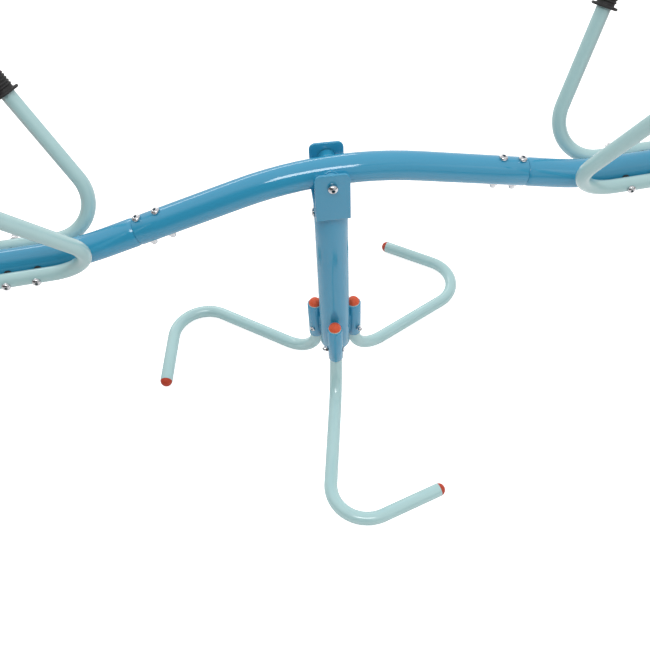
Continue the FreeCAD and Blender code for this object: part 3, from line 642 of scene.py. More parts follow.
def mouth(outer: float, wall: float, lip: float, depth: float) -> list[tuple[float, float]]:
    """Outlines a tube's open end, with a slightly rounded rim.

    Args:
        outer: Radius of the tube.
        wall: Wall thickness.
        lip: Size of the rounding.
        depth: How far in the bore is seen.

    Returns:
        Distances from the end and radii, from the bore out to the skin.
    """
    inner = outer - wall
    return [(depth, 0), (depth, inner), (0.0, inner), (0.0, outer - lip),
            (lip * 0.3, outer - lip * 0.3), (lip, outer)]


def tube(route: Route, outer: float, wall: float, lip: float, depth: float, sides: int) -> Shape:
    """Sweeps a tube that is open at both ends.

    Args:
        route: Centre line.
        outer: Radius of the tube.
        wall: Wall thickness.
        lip: Size of the rims' rounding.
        depth: How far in the bores are seen.
        sides: Points in a ring.

    Returns:
        The tube's shape.
    """
    length, rim = route.length, mouth(outer, wall, lip, depth)
    outline = rim + [(mark, outer) for mark in route.marks() if lip < mark < length - lip]
    outline += [(length - distance, radius) for distance, radius in reversed(rim)]
    return Shape().sweep(route, rounds(outline), sides)


# Finishes

Feed = Union[float, Sequence[float], bpy.types.NodeSocket]


def feed(tree: bpy.types.NodeTree, node: bpy.types.Node,
         inputs: dict[Union[str, int], Feed]) -> bpy.types.Node:
    """Fills a node's inputs.

    Args:
        tree: Tree that the node is in.
        node: The node.
        inputs: For each input its value, or the socket that feeds it.

    Returns:
        The node.
    """
    for key, value in inputs.items():
        if isinstance(value, bpy.types.NodeSocket):
            tree.links.new(value, node.inputs[key])
        else:
            node.inputs[key].default_value = value
    return node


def add_node(tree: bpy.types.NodeTree, kind: str, inputs: dict[Union[str, int], Feed],
             **settings: object) -> bpy.types.Node:
    """Adds a shader node.

    Args:
        tree: Tree to add it to.
        kind: Its type, after "ShaderNode".
        inputs: What its inputs hold, as for feed.
        **settings: Its own settings, such as an operation.

    Returns:
        The new node.
    """
    node = tree.nodes.new("ShaderNode" + kind)
    for key, value in settings.items():
        setattr(node, key, value)
    return feed(tree, node, inputs)


def node_group(name: str, inputs: Sequence[tuple[str, str, float]], output: tuple[str, str],
               build: Callable[[bpy.types.NodeTree, bpy.types.Node], bpy.types.NodeSocket]
               ) -> bpy.types.NodeTree:
    """Makes a shader node group once and returns it afterwards.

    Args:
        name: Name of the group.
        inputs: Name, socket type and default of each input.
        output: Name and socket type of the output.
        build: Makes the nodes and returns the socket that feeds the output.

    Returns:
        The group.
    """
    if name in bpy.data.node_groups:
        return bpy.data.node_groups[name]
    group = bpy.data.node_groups.new(name, "ShaderNodeTree")
    for label, kind, default in inputs:
        socket = group.interface.new_socket(label, in_out="INPUT", socket_type=kind)
        if kind == "NodeSocketFloat":
            socket.default_value = default
    group.interface.new_socket(output[0], in_out="OUTPUT", socket_type=output[1])
    entry, leave = group.nodes.new("NodeGroupInput"), group.nodes.new("NodeGroupOutput")
    feed(group, leave, {output[0]: build(group, entry)})
    return group


def noise(tree: bpy.types.NodeTree, scale: Feed, detail: float,
          roughness: float = 0.5) -> bpy.types.NodeSocket:
    """Adds a noise texture read in the object's own space.

    Args:
        tree: Tree to add it to.
        scale: Its scale, or the socket that gives it.
        detail: Octaves of detail.
        roughness: Strength of the finer octaves.

    Returns:
        The socket of its value.
    """
    place = add_node(tree, "TexCoord", {})
    return add_node(tree, "TexNoise", {"Vector": place.outputs["Object"], "Scale": scale,
                                       "Detail": detail, "Roughness": roughness}).outputs["Fac"]


def peel_group() -> bpy.types.NodeTree:
    """Normal of a sprayed or moulded skin: a fine grain over a slow swell.

    Returns:
        The group.
    """
    def build(group: bpy.types.NodeTree, entry: bpy.types.Node) -> bpy.types.NodeSocket:
        """Adds the two noises and the bump that they drive.

        Args:
            group: The group being built.
            entry: Node that gives its inputs.

        Returns:
            The socket that feeds the output.
        """
        blend = add_node(group, "Math", {0: noise(group, 140.0, 1.0), 1: 0.6,
                                         2: noise(group, entry.outputs["Scale"], 1.0)},
                         operation="MULTIPLY_ADD")
        return add_node(group, "Bump", {"Strength": entry.outputs["Strength"],
                                        "Distance": entry.outputs["Depth"],
                                        "Height": blend.outputs[0]}).outputs["Normal"]
    return node_group("skin_grain", [("Scale", "NodeSocketFloat", 900.0),
                                     ("Strength", "NodeSocketFloat", 0.2),
                                     ("Depth", "NodeSocketFloat", 0.00005)],
                      ("Normal", "NodeSocketVector"), build)


def drift_group() -> bpy.types.NodeTree:
    """Slow drift between two colours, as between batches of pigment.

    Returns:
        The group.
    """
    def build(group: bpy.types.NodeTree, entry: bpy.types.Node) -> bpy.types.NodeSocket:
        """Adds the noise and the mix that it drives.

        Args:
            group: The group being built.
            entry: Node that gives its inputs.

        Returns:
            The socket that feeds the output.
        """
        return add_node(group, "Mix", {"Factor": noise(group, entry.outputs["Scale"], 3.0),
                                       6: entry.outputs["Light"], 7: entry.outputs["Deep"]},
                        data_type="RGBA").outputs[2]
    return node_group("pigment_drift", [("Scale", "NodeSocketFloat", 7.0),
                                        ("Light", "NodeSocketColor", 0.0),
                                        ("Deep", "NodeSocketColor", 0.0)],
                      ("Colour", "NodeSocketColor"), build)


def smear_group() -> bpy.types.NodeTree:
    """Roughness that wanders between two values, as handling leaves a surface.

    Returns:
        The group.
    """
    def build(group: bpy.types.NodeTree, entry: bpy.types.Node) -> bpy.types.NodeSocket:
        """Adds the noise and the range that it is spread over.

        Args:
            group: The group being built.
            entry: Node that gives its inputs.

        Returns:
            The socket that feeds the output.
        """
        return add_node(group, "MapRange", {
            "Value": noise(group, 30.0, 4.0, 0.6), "From Min": 0.3, "From Max": 0.7,
            "To Min": entry.outputs["Low"], "To Max": entry.outputs["High"]}).outputs["Result"]
    return node_group("handling_smear", [("Low", "NodeSocketFloat", 0.2),
                                         ("High", "NodeSocketFloat", 0.3)],
                      ("Roughness", "NodeSocketFloat"), build)


@dataclass(frozen=True)
class Finish:
    """Surface finish that becomes one procedural material."""

    name: str
    slot: Slot
    light: tuple[float, float, float]
    deep: tuple[float, float, float]
    rough: tuple[float, float]
    drift_scale: float = 7.0
    grain_scale: float = 900.0
    grain_strength: float = 0.15
    grain_depth: float = 0.00005
    metallic: float = 0.0
    specular: float = 0.5

    def material(self) -> bpy.types.Material:
        """Builds the material once and returns it afterwards.

        Returns:
            The material.
        """
        if self.name in bpy.data.materials:
            return bpy.data.materials[self.name]
        material = bpy.data.materials.new(self.name)
        material.use_nodes = True
        tree = material.node_tree
        drift = add_node(tree, "Group", {"Scale": self.drift_scale, "Light": (*self.light, 1.0),
                                         "Deep": (*self.deep, 1.0)}, node_tree=drift_group())
        smear = add_node(tree, "Group", {"Low": self.rough[0], "High": self.rough[1]},
                         node_tree=smear_group())
        grain = add_node(tree, "Group", {
            "Scale": self.grain_scale, "Strength": self.grain_strength,
            "Depth": self.grain_depth}, node_tree=peel_group())
        feed(tree, tree.nodes["Principled BSDF"], {
            "Metallic": self.metallic, "Specular IOR Level": self.specular,
            "Base Color": drift.outputs["Colour"], "Roughness": smear.outputs["Roughness"],
            "Normal": grain.outputs["Normal"]})
        return material


BLUE_COAT = Finish("blue_powder_coat", Slot.BLUE, (0.036, 0.318, 0.522), (0.031, 0.296, 0.495),
                   (0.06, 0.10), grain_scale=420.0, grain_strength=0.03, specular=0.80)
MINT_COAT = Finish("mint_powder_coat", Slot.MINT, (0.440, 0.660, 0.665), (0.414, 0.630, 0.640),
                   (0.08, 0.13), grain_scale=420.0, grain_strength=0.03, specular=0.80)
ORANGE_MOULDING = Finish("orange_moulding", Slot.ORANGE, (0.92, 0.145, 0.052),
                         (0.58, 0.066, 0.022), (0.38, 0.55), drift_scale=420.0,
                         grain_scale=1500.0, grain_strength=0.8, grain_depth=0.0003,
                         specular=0.35)
# Same orange plastic as the top plugs, coloured darker for the toe plugs: painted shade, as the
# toes face sideways and catch less light.
ORANGE_TOE_SHADED = Finish("orange_toe_painted_shade", Slot.ORANGE, (0.60, 0.070, 0.028),
                    (0.38, 0.036, 0.014), (0.42, 0.6), drift_scale=380.0,
                    grain_scale=1500.0, grain_strength=0.8, grain_depth=0.0003,
                    specular=0.3)
ORANGE_SEAT = Finish("orange_seat_moulding", Slot.ORANGE, (0.56, 0.080, 0.038),
                     (0.50, 0.068, 0.030), (0.34, 0.46), grain_scale=1300.0,
                     grain_strength=0.5, grain_depth=0.0002)
BLACK_NYLON = Finish("black_nylon", Slot.NYLON, (0.014, 0.014, 0.015), (0.009, 0.009, 0.01),
                     (0.35, 0.5), grain_scale=1200.0, grain_strength=0.4)
BLACK_RUBBER = Finish("black_rubber_skin", Slot.RUBBER, (0.02, 0.02, 0.021),
                      (0.012, 0.012, 0.013), (0.55, 0.7), grain_scale=1400.0,
                      grain_strength=0.7, grain_depth=0.0002)
BRIGHT_ZINC = Finish("bright_zinc", Slot.STEEL, (0.70, 0.70, 0.715), (0.55, 0.55, 0.57),
                     (0.06, 0.13), grain_scale=300.0, grain_strength=0.05, metallic=1.0)


def dress(finish: Finish, *nodes: str) -> None:
    """Gives the CAD nodes that stay in view their procedural finish.

    Args:
        finish: Surface finish.
        *nodes: Names of the nodes.
    """
    for node in nodes:
        for slot in FRAME["nodes"][node].material_slots:
            slot.material = finish.material()


# Fasteners and plugs

def turned(outline: Iterable[Ring], base: float, sides: int = 36, closed: bool = False) -> Shape:
    """Turns an outline about the Z axis.

    Args:
        outline: Height, radius and form of each ring.
        base: Distance below z = 0 that covers the lowest ring.
        sides: Points in a ring.
        closed: The outline ends where it began.

    Returns:
        The turned shape.
    """
    route = Route(Vector((0, 0, -base)), AXIS_Z, AXIS_X).run(2 * base)
    return Shape().sweep(route, [(base + s, r, form) for s, r, form in outline], sides, closed)


def dome_bolt(bolt: BoltSizes, length: float = 6.0) -> Shape:
    """Shapes a dome-headed bolt with a hexagon socket; its head sits on z = 0.

    Args:
        bolt: Sizes of the bolt.
        length: Length of shank below the head.

    Returns:
        The bolt's shape.
    """
    edge, crown = bolt.dome * 0.4, bolt.key * 0.66
    sweep = math.acos(crown / bolt.head)
    skin = [(edge + (bolt.dome - edge) * math.sin(sweep * k / 10) / math.sin(sweep),
             bolt.head * math.cos(sweep * k / 10)) for k in range(11)]
    key = bolt.key * 0.577
    outline = rounds([(-length, 0), (-length, bolt.shank - 0.8), (0.8 - length, bolt.shank),
                      (0, bolt.shank), (0, bolt.head - 0.5), (0.15, bolt.head - 0.15),
                      (0.5, bolt.head)] + skin)
    outline += [(bolt.dome - 0.3, key, Form.HEX), (-0.1 * bolt.dome, key, Form.HEX),
                (-0.3 * bolt.dome, 0.0, Form.ROUND)]
    return turned(outline, length + 20.0)


def hex_sides(flats: float, height: float) -> list[Ring]:
    """Outlines the eased hexagon of a nut.

    Args:
        flats: Half the width across flats.
        height: Height of the hexagon.

    Returns:
        Rings from the seat up to the upper ease.
    """
    corner, ease = flats / math.cos(math.pi / 6), 0.09 * flats
    return [(0.0, 0.96 * flats, Form.ROUND), (ease, corner, Form.HEX),
            (height - ease, corner, Form.HEX)]


def cap_nut(nut: NutSizes) -> Shape:
    """Shapes a hexagon nut with a closed dome, sitting on z = 0.

    Args:
        nut: Sizes of the nut.

    Returns:
        The nut's shape.
    """
    top, skirt = nut.height + nut.dome, 0.93 * nut.flats
    outline = [(0.0, 0.0, Form.ROUND)] + hex_sides(nut.flats, nut.height)
    outline += [(nut.height, 0.97 * nut.flats, Form.ROUND), (nut.height + 0.1, skirt, Form.ROUND)]
    outline += rounds(arc((top - skirt, 0.0), skirt, 90, 0, 9))
    return turned([(s, max(r, 0.0), form) for s, r, form in outline], top + 10.0)


def open_nut(flats: float, height: float, bore: float) -> Shape:
    """Shapes a plain hexagon nut, sitting on z = 0.

    Args:
        flats: Half the width across flats.
        height: Height of the nut.
        bore: Radius of the hole.

    Returns:
        The nut's shape.
    """
    outline = [(0.0, bore, Form.ROUND)] + hex_sides(flats, height)
    outline += rounds([(height, 0.96 * flats), (height, bore)])
    return turned(outline, height + 10.0, closed=True)


def tube_plug(outer: float, wall: float) -> Shape:
    """Shapes a domed plug for a tube's end at z = 0.

    Args:
        outer: Radius of the tube.
        wall: Its wall thickness.

    Returns:
        The plug's shape.
    """
    cap, bore = outer - PLUG.inset, outer - wall - 0.1
    radius = (cap ** 2 + PLUG.dome ** 2) / (2 * PLUG.dome)
    outline = [(-PLUG.stem, 0.0), (-PLUG.stem, bore - 0.5), (-PLUG.stem + 1.5, bore),
               (0.0, bore), (0.0, cap - 0.3), (0.35, cap)]
    for k in range(1, 15):
        reach = cap * math.cos(math.pi / 2 * k / 14)
        rise = math.sqrt(radius ** 2 - reach ** 2) - (radius - PLUG.dome)
        outline.append((max(rise, 0.35 + 0.05 * k), reach if k < 14 else 0.0))
    return turned(rounds(outline), 40.0, 48)


def fasten(shape_of: Callable[[], Shape], places: Iterable[Matrix], name: str, body: Body,
           node: str) -> None:
    """Makes one piece of the same fastener in several places.

    Args:
        shape_of: Shapes one fastener.
        places: Where each one goes.
        name: Name of the piece.
        body: CAD body that it moves with.
        node: CAD node that it stands for.
    """
    whole = Shape()
    for place in places:
        whole.join(shape_of().place(place))
    whole.piece(name, BRIGHT_ZINC, body, [node])


def bead(points: Sequence[Vector], radius: float, closed: bool = False) -> Shape:
    """Lays a weld bead with the ripple that each pass leaves.

    Args:
        points: Line of the weld, in millimetres.
        radius: Mean radius of the bead.
        closed: The line ends where it began.

    Returns:
        The bead's shape.
    """
    rings = []
    count = len(points)
    for k, point in enumerate(points):
        before = points[(k - 1) % count] if closed or k else point
        after = points[(k + 1) % count] if closed or k < count - 1 else point
        along = (after - before).normalized()
        side = along.cross(AXIS_Z)
        side = side.normalized() if side.length > 1e-3 else along.cross(AXIS_X).normalized()
        other = along.cross(side)
        size = radius * (1 + 0.14 * math.sin(k * 1.9))
        if not closed and k in (0, count - 1):
            size *= 0.3
        rings.append([point + (side * math.cos(a) + other * math.sin(a)) * size
                      for a in angles(10)])
    return Shape().loft(rings, closed)


# Sub-assemblies

@dataclass
class Stand:
    """Column with its sockets, and the three legs that stand in them."""

    places: Places
    size: StandSizes = STAND

    def build(self) -> None:
        """Makes every piece of the stand."""
        self._column()
        for name, station, splay in self.size.splay:
            self._socket(name, station)
            self._leg(name, station, splay)
        self._fixings()

    def _column(self) -> None:
        """Makes the column and the welds that hold its sockets."""
        size = self.size
        low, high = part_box("column_tube")
        foot, top = low[2] / MM, high[2] / MM
        route = Route(Vector((0, 0, foot)), AXIS_Z, AXIS_X).run(top - foot)
        tube(route, size.column_radius, size.column_wall, 0.6, 10.0, 96).piece(
            "column", BLUE_COAT, Body.STAND, ["column_tube"])
        beads = Shape()
        low_end = size.socket_foot + size.weld_foot
        high_end = size.socket_foot + size.socket_length - size.weld_top
        for _, station, _ in size.splay:
            local = Shape()
            for sign in (-1, 1):
                place = Vector((-(size.socket_radius + 1.0) + 2.2, sign * size.weld_half, 0))
                line = [place + Vector((0, 0, low_end + (high_end - low_end) * k / 44))
                        for k in range(45)]
                local.join(bead(line, size.weld_radius))
            beads.join(local.place(self.places.socket(station)))
        beads.piece("socket_welds", BLUE_COAT, Body.STAND, sharp=80)

    def _socket(self, name: str, station: float) -> None:
        """Makes a socket.

        Args:
            name: Which leg it holds.
            station: Its direction from the column in degrees.
        """
        size = self.size
        route = Route(Vector((0, 0, size.socket_foot)), AXIS_Z, AXIS_X).run(size.socket_length)
        tube(route, size.socket_radius, size.socket_wall, 0.5, 6.0, 64).place(
            self.places.socket(station)).piece(
            "socket_" + name, BLUE_COAT, Body.STAND, ["leg_socket_" + name])

    def _leg(self, name: str, station: float, splay: float) -> None:
        """Makes a leg and its two plugs.

        Args:
            name: Which leg it is.
            station: Direction of its socket in degrees.
            splay: How far it turns in the socket, in degrees.
        """
        size = self.size
        top = size.socket_foot + size.socket_length + size.leg_proud
        tangent = size.toe_bend * math.tan(math.radians(size.toe_turn) / 2)
        route = Route(Vector((0, 0, top)), -AXIS_Z, AXIS_X)
        route.run(top - size.leg_radius - size.leg_bend)
        route.bend(size.leg_bend, 90, -AXIS_Y)
        route.run(size.leg_span - size.leg_bend - tangent)
        route.bend(size.toe_bend, size.toe_turn, AXIS_Z)
        route.run(size.toe_length - tangent)
        frame = self.places.leg(station, splay)
        tube(route, size.leg_radius, size.leg_wall, 0.45, 8.0, 56).place(frame).piece(
            "bent_leg_" + name, MINT_COAT, Body.STAND, ["leg_" + name])
        point, heading, _ = route.end
        # The toe plug takes the darker copy of the orange, which is painted shade.
        for end, place, finish in (
                ("top", shift(z=top), ORANGE_MOULDING),
                ("toe", shift(*point) @ point_z(heading), ORANGE_TOE_SHADED)):
            tube_plug(size.leg_radius, size.leg_wall).place(frame @ place).piece(
                "%s_plug_%s" % (end, name), finish, Body.STAND, ["leg_%s_plug_%s" % (end, name)])

    def _fixings(self) -> None:
        """Makes the bolts and nuts of the legs and the screws that hold the swivel."""
        size = self.size
        frames = [self.places.leg(station, splay) for _, station, splay in size.splay]
        reach, level = size.socket_radius, size.bolt_level
        fasten(lambda: dome_bolt(LEG_BOLT), [frame @ shift(0, reach, level) @ point_z(AXIS_Y)
                                             for frame in frames],
               "leg_bolt_heads", Body.STAND, "leg_bolts")
        fasten(lambda: cap_nut(LEG_NUT), [frame @ shift(0, -reach, level) @ point_z(-AXIS_Y)
                                          for frame in frames],
               "leg_cap_nuts", Body.STAND, "leg_nuts")
        radius, level = size.column_radius, self.places.column_top - size.screw_drop
        fasten(lambda: dome_bolt(LOCK_SCREW, 8.0),
               [turn(AXIS_Z, angle) @ shift(radius, 0, level) @ point_z(AXIS_X)
                for angle in (0, 180)], "swivel_lock_screws", Body.STAND, "lock_screws")
        dress(BLACK_NYLON, "upper_bush", "lower_bush")


@dataclass
class Head:
    """Folded head that swivels on the column and holds the pivot bolt."""

    places: Places
    size: HeadSizes = HEAD

    def build(self) -> None:
        """Makes every piece of the head."""
        self._strip()
        self._pivot()
        dress(BLUE_COAT, "spindle_tube")
        dress(BRIGHT_ZINC, "pivot_washer", "pivot_spacer_tube")

    def _strip(self) -> None:
        """Makes the U: one strip of constant thickness, folded twice, with rounded ends."""
        size = self.size
        plate, corner = size.plate, size.corner
        half, fold = size.spread / 2 - plate / 2, size.fold - plate / 2
        top = self.places.head_floor + size.height
        cheek = size.height - plate / 2 - fold
        route = Route(Vector((0, -half, top)), -AXIS_Z, AXIS_X).run(cheek)
        route.bend(fold, 90, AXIS_X).run(2 * (half - fold)).bend(fold, 90, AXIS_X).run(cheek)
        length = route.length
        marks = [corner * (1 - math.cos(math.pi / 2 * k / 12)) for k in range(13)]
        stations = marks + [m for m in route.marks(10.0) if corner < m < length - corner]
        stations += [length - m for m in reversed(marks)]
        Shape().loft([self._section(route, station) for station in stations], capped=True).piece(
            "folded_head", BLUE_COAT, Body.HEAD, ["pivot_head"], sharp=50)

    def _section(self, route: Route, station: float) -> list[Vector]:
        """Outlines the strip across its length, with rounded edges.

        Args:
            route: Centre line of the strip.
            station: Distance along it.

        Returns:
            The ring there, narrowed and thinned towards the strip's ends.
        """
        corner, rim = self.size.corner, self.size.rim
        point, heading, side = route.at(station)
        other = heading.cross(side)
        near = min(station, route.length - station)
        reach, thin = self.size.width / 2, self.size.plate / 2
        if near < corner:
            reach -= corner - math.sqrt(max(corner ** 2 - (corner - near) ** 2, 0.0))
        if near < rim:
            thin -= rim - math.sqrt(max(rim ** 2 - (rim - near) ** 2, 0.0))
        flat = min(rim, thin)
        ring = []
        for across, over, base in ((1, 1, 0), (-1, 1, 90), (-1, -1, 180), (1, -1, 270)):
            centre = Vector((across * (reach - rim), over * (thin - flat)))
            for k in range(5):
                angle = math.radians(base + 90 * k / 4)
                ring.append(point + side * (centre.x + rim * math.cos(angle))
                            + other * (centre.y + flat * math.sin(angle)))
        return ring

    def _pivot(self) -> None:
        """Makes the pivot's bolt and nut."""
        half, level = self.size.spread / 2, self.places.pivot
        fasten(lambda: dome_bolt(PIVOT_BOLT, half), [shift(0, -half, level) @ point_z(-AXIS_Y)],
               "pivot_bolt_dome", Body.HEAD, "pivot_bolt")
        fasten(lambda: cap_nut(PIVOT_NUT),
               [shift(0, half + self.size.washer, level) @ point_z(AXIS_Y)],
               "pivot_cap_nut", Body.HEAD, "pivot_nut")


@dataclass
class Beam:
    """Arched beam of three tubes with its cross sleeve and joint bolts."""

    places: Places
    size: BeamSizes = BEAM

    def build(self) -> None:
        """Makes every piece of the bare beam."""
        self._centre()
        self._sleeve()
        for side in SIDES:
            self._end(side)
        self._joint_fixings()
        dress(BLACK_NYLON, "pivot_bush_near", "pivot_bush_far")

    def _centre(self) -> None:
        """Makes the arched centre tube."""
        size, slope = self.size, math.radians(self.size.slope)
        route = Route(Vector((size.seam[0], 0, size.seam[1])),
                      Vector((-math.cos(slope), 0, math.sin(slope))), AXIS_Y)
        route.run(size.centre_run)
        route.bend(size.arch_radius, 2 * size.slope, -AXIS_Y)
        route.run(size.centre_run)
        tube(route, size.radius, size.wall, size.rim, 4.0, 96).place(self.places.beam).piece(
            "arched_tube", BLUE_COAT, Body.BEAM, ["beam_centre_tube"])

    def _sleeve(self) -> None:
        """Makes the cross sleeve and the weld round each of its ends."""
        size = self.size
        route = Route(Vector((0, -size.sleeve_length / 2, 0)), AXIS_Y, AXIS_X)
        route.run(size.sleeve_length)
        tube(route, size.sleeve_radius, size.sleeve_wall, 0.4, 2.0, 64).place(
            self.places.beam).piece("cross_sleeve", BLUE_COAT, Body.BEAM, ["beam_cross_sleeve"])
        beads = Shape()
        radius = size.sleeve_radius + 0.6
        for sign in (-1, 1):
            line = []
            for angle in angles(60):
                across, up = radius * math.cos(angle), radius * math.sin(angle)
                line.append(Vector((across, sign * (math.sqrt(size.radius ** 2 - up ** 2) + 0.4),
                                    up)))
            beads.join(bead(line, size.weld_radius, closed=True))
        beads.place(self.places.beam).piece("sleeve_welds", BLUE_COAT, Body.BEAM, sharp=80)

    def _end(self, side: str) -> None:
        """Makes an end tube, drawn in outside the joint to a neck in the centre tube.

        Args:
            side: Which end of the beam.
        """
        size = self.size
        route = Route(Vector((-size.neck_inside, 0, 0)), AXIS_X, AXIS_Y)
        route.run(size.neck_inside + size.end_run_in)
        route.bend(size.end_bend, size.slope, -AXIS_Y)
        route.run(size.end_run)
        neck, radius = size.radius - size.wall - 0.1, size.radius
        step, shoulder = neck + size.neck_step, size.neck_inside + size.neck_gap + 0.2
        outline = [(0.0, 0.0), (0.0, neck), (size.neck_inside + size.neck_gap, neck),
                   (shoulder, step)]
        outline += [(shoulder + size.neck_draw * k / 8,
                     step + (radius - step) * math.sin(math.pi / 2 * k / 8)) for k in range(1, 9)]
        outline += [(mark, radius) for mark in route.marks()
                    if shoulder + size.neck_draw + 0.5 < mark < route.length - size.rim]
        outline += [(route.length - distance, reach) for distance, reach in
                    reversed(mouth(radius, size.wall, size.rim, 8.0))]
        Shape().sweep(route, rounds(outline), 96).place(self.places.seam(side)).piece(
            "end_tube_" + side, BLUE_COAT, Body.BEAM, ["beam_end_tube_" + side])
        tube_plug(size.radius, size.wall).place(
            self.places.level(side) @ shift(size.end_run) @ point_z(AXIS_X)).piece(
            "beam_plug_" + side, ORANGE_MOULDING, Body.BEAM, ["beam_end_plug_" + side])

    def _joint_fixings(self) -> None:
        """Makes the bolts and nuts of both joints."""
        size = self.size
        frames = [self.places.seam(side) @ shift(across) for side in SIDES
                  for across in (-size.joint_first, -size.joint_first - size.joint_pitch)]
        fasten(lambda: dome_bolt(JOINT_BOLT), [frame @ shift(z=size.radius) for frame in frames],
               "joint_bolt_domes", Body.BEAM, "joint_bolts")
        fasten(lambda: cap_nut(JOINT_NUT),
               [frame @ shift(z=-size.radius) @ point_z(-AXIS_Z) for frame in frames],
               "joint_cap_nuts", Body.BEAM, "joint_nuts")


@dataclass
class Handles:
    """Two bent handles at each end, bolted through the beam on shaped spacers."""

    places: Places
    size: HandleSizes = HANDLE

    def build(self) -> None:
        """Makes every handle and its fixings."""
        for side in SIDES:
            for flank, sign in (("near", -1), ("far", 1)):
                self._handle(side, flank, sign if side == "right" else -sign)
            self._saddles(side)
        self._fixings()

    @property
    def _stations(self) -> tuple[float, float]:
        """Places of a handle's two bolts along the beam."""
        return self.size.first, self.size.first + self.size.pitch

    def _handle(self, side: str, flank: str, sign: int) -> None:
        """Makes a handle, its end plug and its grip.

        Args:
            side: Which end of the beam.
            flank: Near or far.
            sign: Which way the handle leans.
        """
        size, rise = self.size, math.radians(self.size.rise)
        tangent = size.bend * math.tan(math.radians(180 - size.rise) / 2)
        along = Vector((math.cos(rise), 0, math.sin(rise)))
        top = Vector((-size.lead - tangent, 0, 0)) + along * (tangent + size.reach)
        route = Route(top, -along, AXIS_Y)
        route.run(size.reach)
        route.bend(size.bend, 180 - size.rise, -AXIS_Y)
        route.run(size.lead + size.pitch + size.tail)
        frame = (self.places.level(side) @ shift(size.first, sign * size.offset)
                 @ turn(AXIS_X, -sign * size.lean))
        key = "%s_%s" % (side, flank)
        tube(route, size.radius, size.wall, 0.45, 8.0, 56).place(frame).piece(
            "bent_handle_" + key, MINT_COAT, Body.BEAM, ["handle_" + key])
        point, heading, _ = route.end
        tube_plug(size.radius, size.wall).place(
            frame @ shift(*point) @ point_z(heading)).piece(
            "handle_end_" + key, ORANGE_MOULDING, Body.BEAM, ["handle_plug_" + key])
        self._grip().place(frame @ shift(*top) @ point_z(along)).piece(
            "ribbed_grip_" + key, BLACK_RUBBER, Body.BEAM, ["grip_" + key])

    def _grip(self) -> Shape:
        """Shapes a ribbed rubber grip with a guard flange and a domed end.

        Returns:
            The grip's shape, its tube's end at z = 0.
        """
        size = self.size
        length, radius, flange = size.grip_length, size.grip_radius, size.flange_radius
        half, cap, root = size.flange_width / 2, size.grip_cap, radius - size.rib_depth
        outline = [(-length, size.radius + SEATING_GAP), (-length, flange - half)]
        outline += arc((-length + half, flange - half), half, 180, 0, 10)[1:]
        outline += [(-length + 5.2, radius - 1.0), (-length + 7.0, root)]
        place = -length + 10.0
        while place < -14.0:
            outline += [(place, root), (place + 1.0, radius - 0.3), (place + 2.2, radius),
                        (place + 3.4, radius - 0.3), (place + 4.4, root)]
            place += size.rib_pitch
        outline += [(-8.0, radius - 0.9), (-4.0, radius - 0.2), (0.0, radius - 0.4)]
        outline += [(cap * math.sin(a) ** 1.5,
                     radius - cap - 0.4 + cap * max(math.cos(a), 0.0) ** 1.5)
                    for a in (math.pi / 2 * k / 8 for k in range(1, 9))]
        outline += [(cap, radius * 0.4), (cap, 0.0)]
        return turned(rounds(outline), 140.0, 48)

    def _saddle(self) -> Shape:
        """Shapes a moulded spacer, saddle-shaped on both faces, with a moulded rim.

        Returns:
            The spacer's shape.
        """
        rim, bore = self.size.spacer_radius, self.size.spacer_bore
        outline = ((bore, 0.0), (rim - 0.6, 0.0), (rim, 0.6), (rim, -0.6), (rim - 0.6, 0.0),
                   (bore, 0.0))
        rings = []
        for number, (radius, lift) in enumerate(outline):
            ring = []
            for angle in angles(48):
                across, up = radius * math.cos(angle), radius * math.sin(angle)
                if number < 3:
                    along = math.sqrt(BEAM.radius ** 2 - up ** 2) + SEATING_GAP
                else:
                    along = (self.size.offset - SEATING_GAP
                             - math.sqrt(max(self.size.radius ** 2 - up ** 2, 0)))
                ring.append(Vector((across, along + lift, up)))
            rings.append(ring)
        return Shape().loft(rings, closed=True)

    def _saddles(self, side: str) -> None:
        """Makes one end's spacers.

        Args:
            side: Which end of the beam.
        """
        whole = Shape()
        for across in self._stations:
            for half in (0, 180):
                whole.join(self._saddle().place(
                    self.places.level(side) @ shift(across) @ turn(AXIS_Z, half)))
        whole.piece("handle_spacers_" + side, BLACK_NYLON, Body.BEAM, ["handle_saddles_" + side])

    def _fixings(self) -> None:
        """Makes the bolts and nuts that hold the handles."""
        half = self.size.offset + self.size.radius
        frames = [(self.places.level(side) @ shift(across), near)
                  for side, near in (("left", 1), ("right", -1)) for across in self._stations]
        fasten(lambda: dome_bolt(JOINT_BOLT),
               [frame @ shift(0, near * half) @ point_z(AXIS_Y * near) for frame, near in frames],
               "handle_bolt_domes", Body.BEAM, "handle_bolts")
        fasten(lambda: cap_nut(JOINT_NUT),
               [frame @ shift(0, -near * half) @ point_z(AXIS_Y * -near)
                for frame, near in frames], "handle_cap_nuts", Body.BEAM, "handle_nuts")


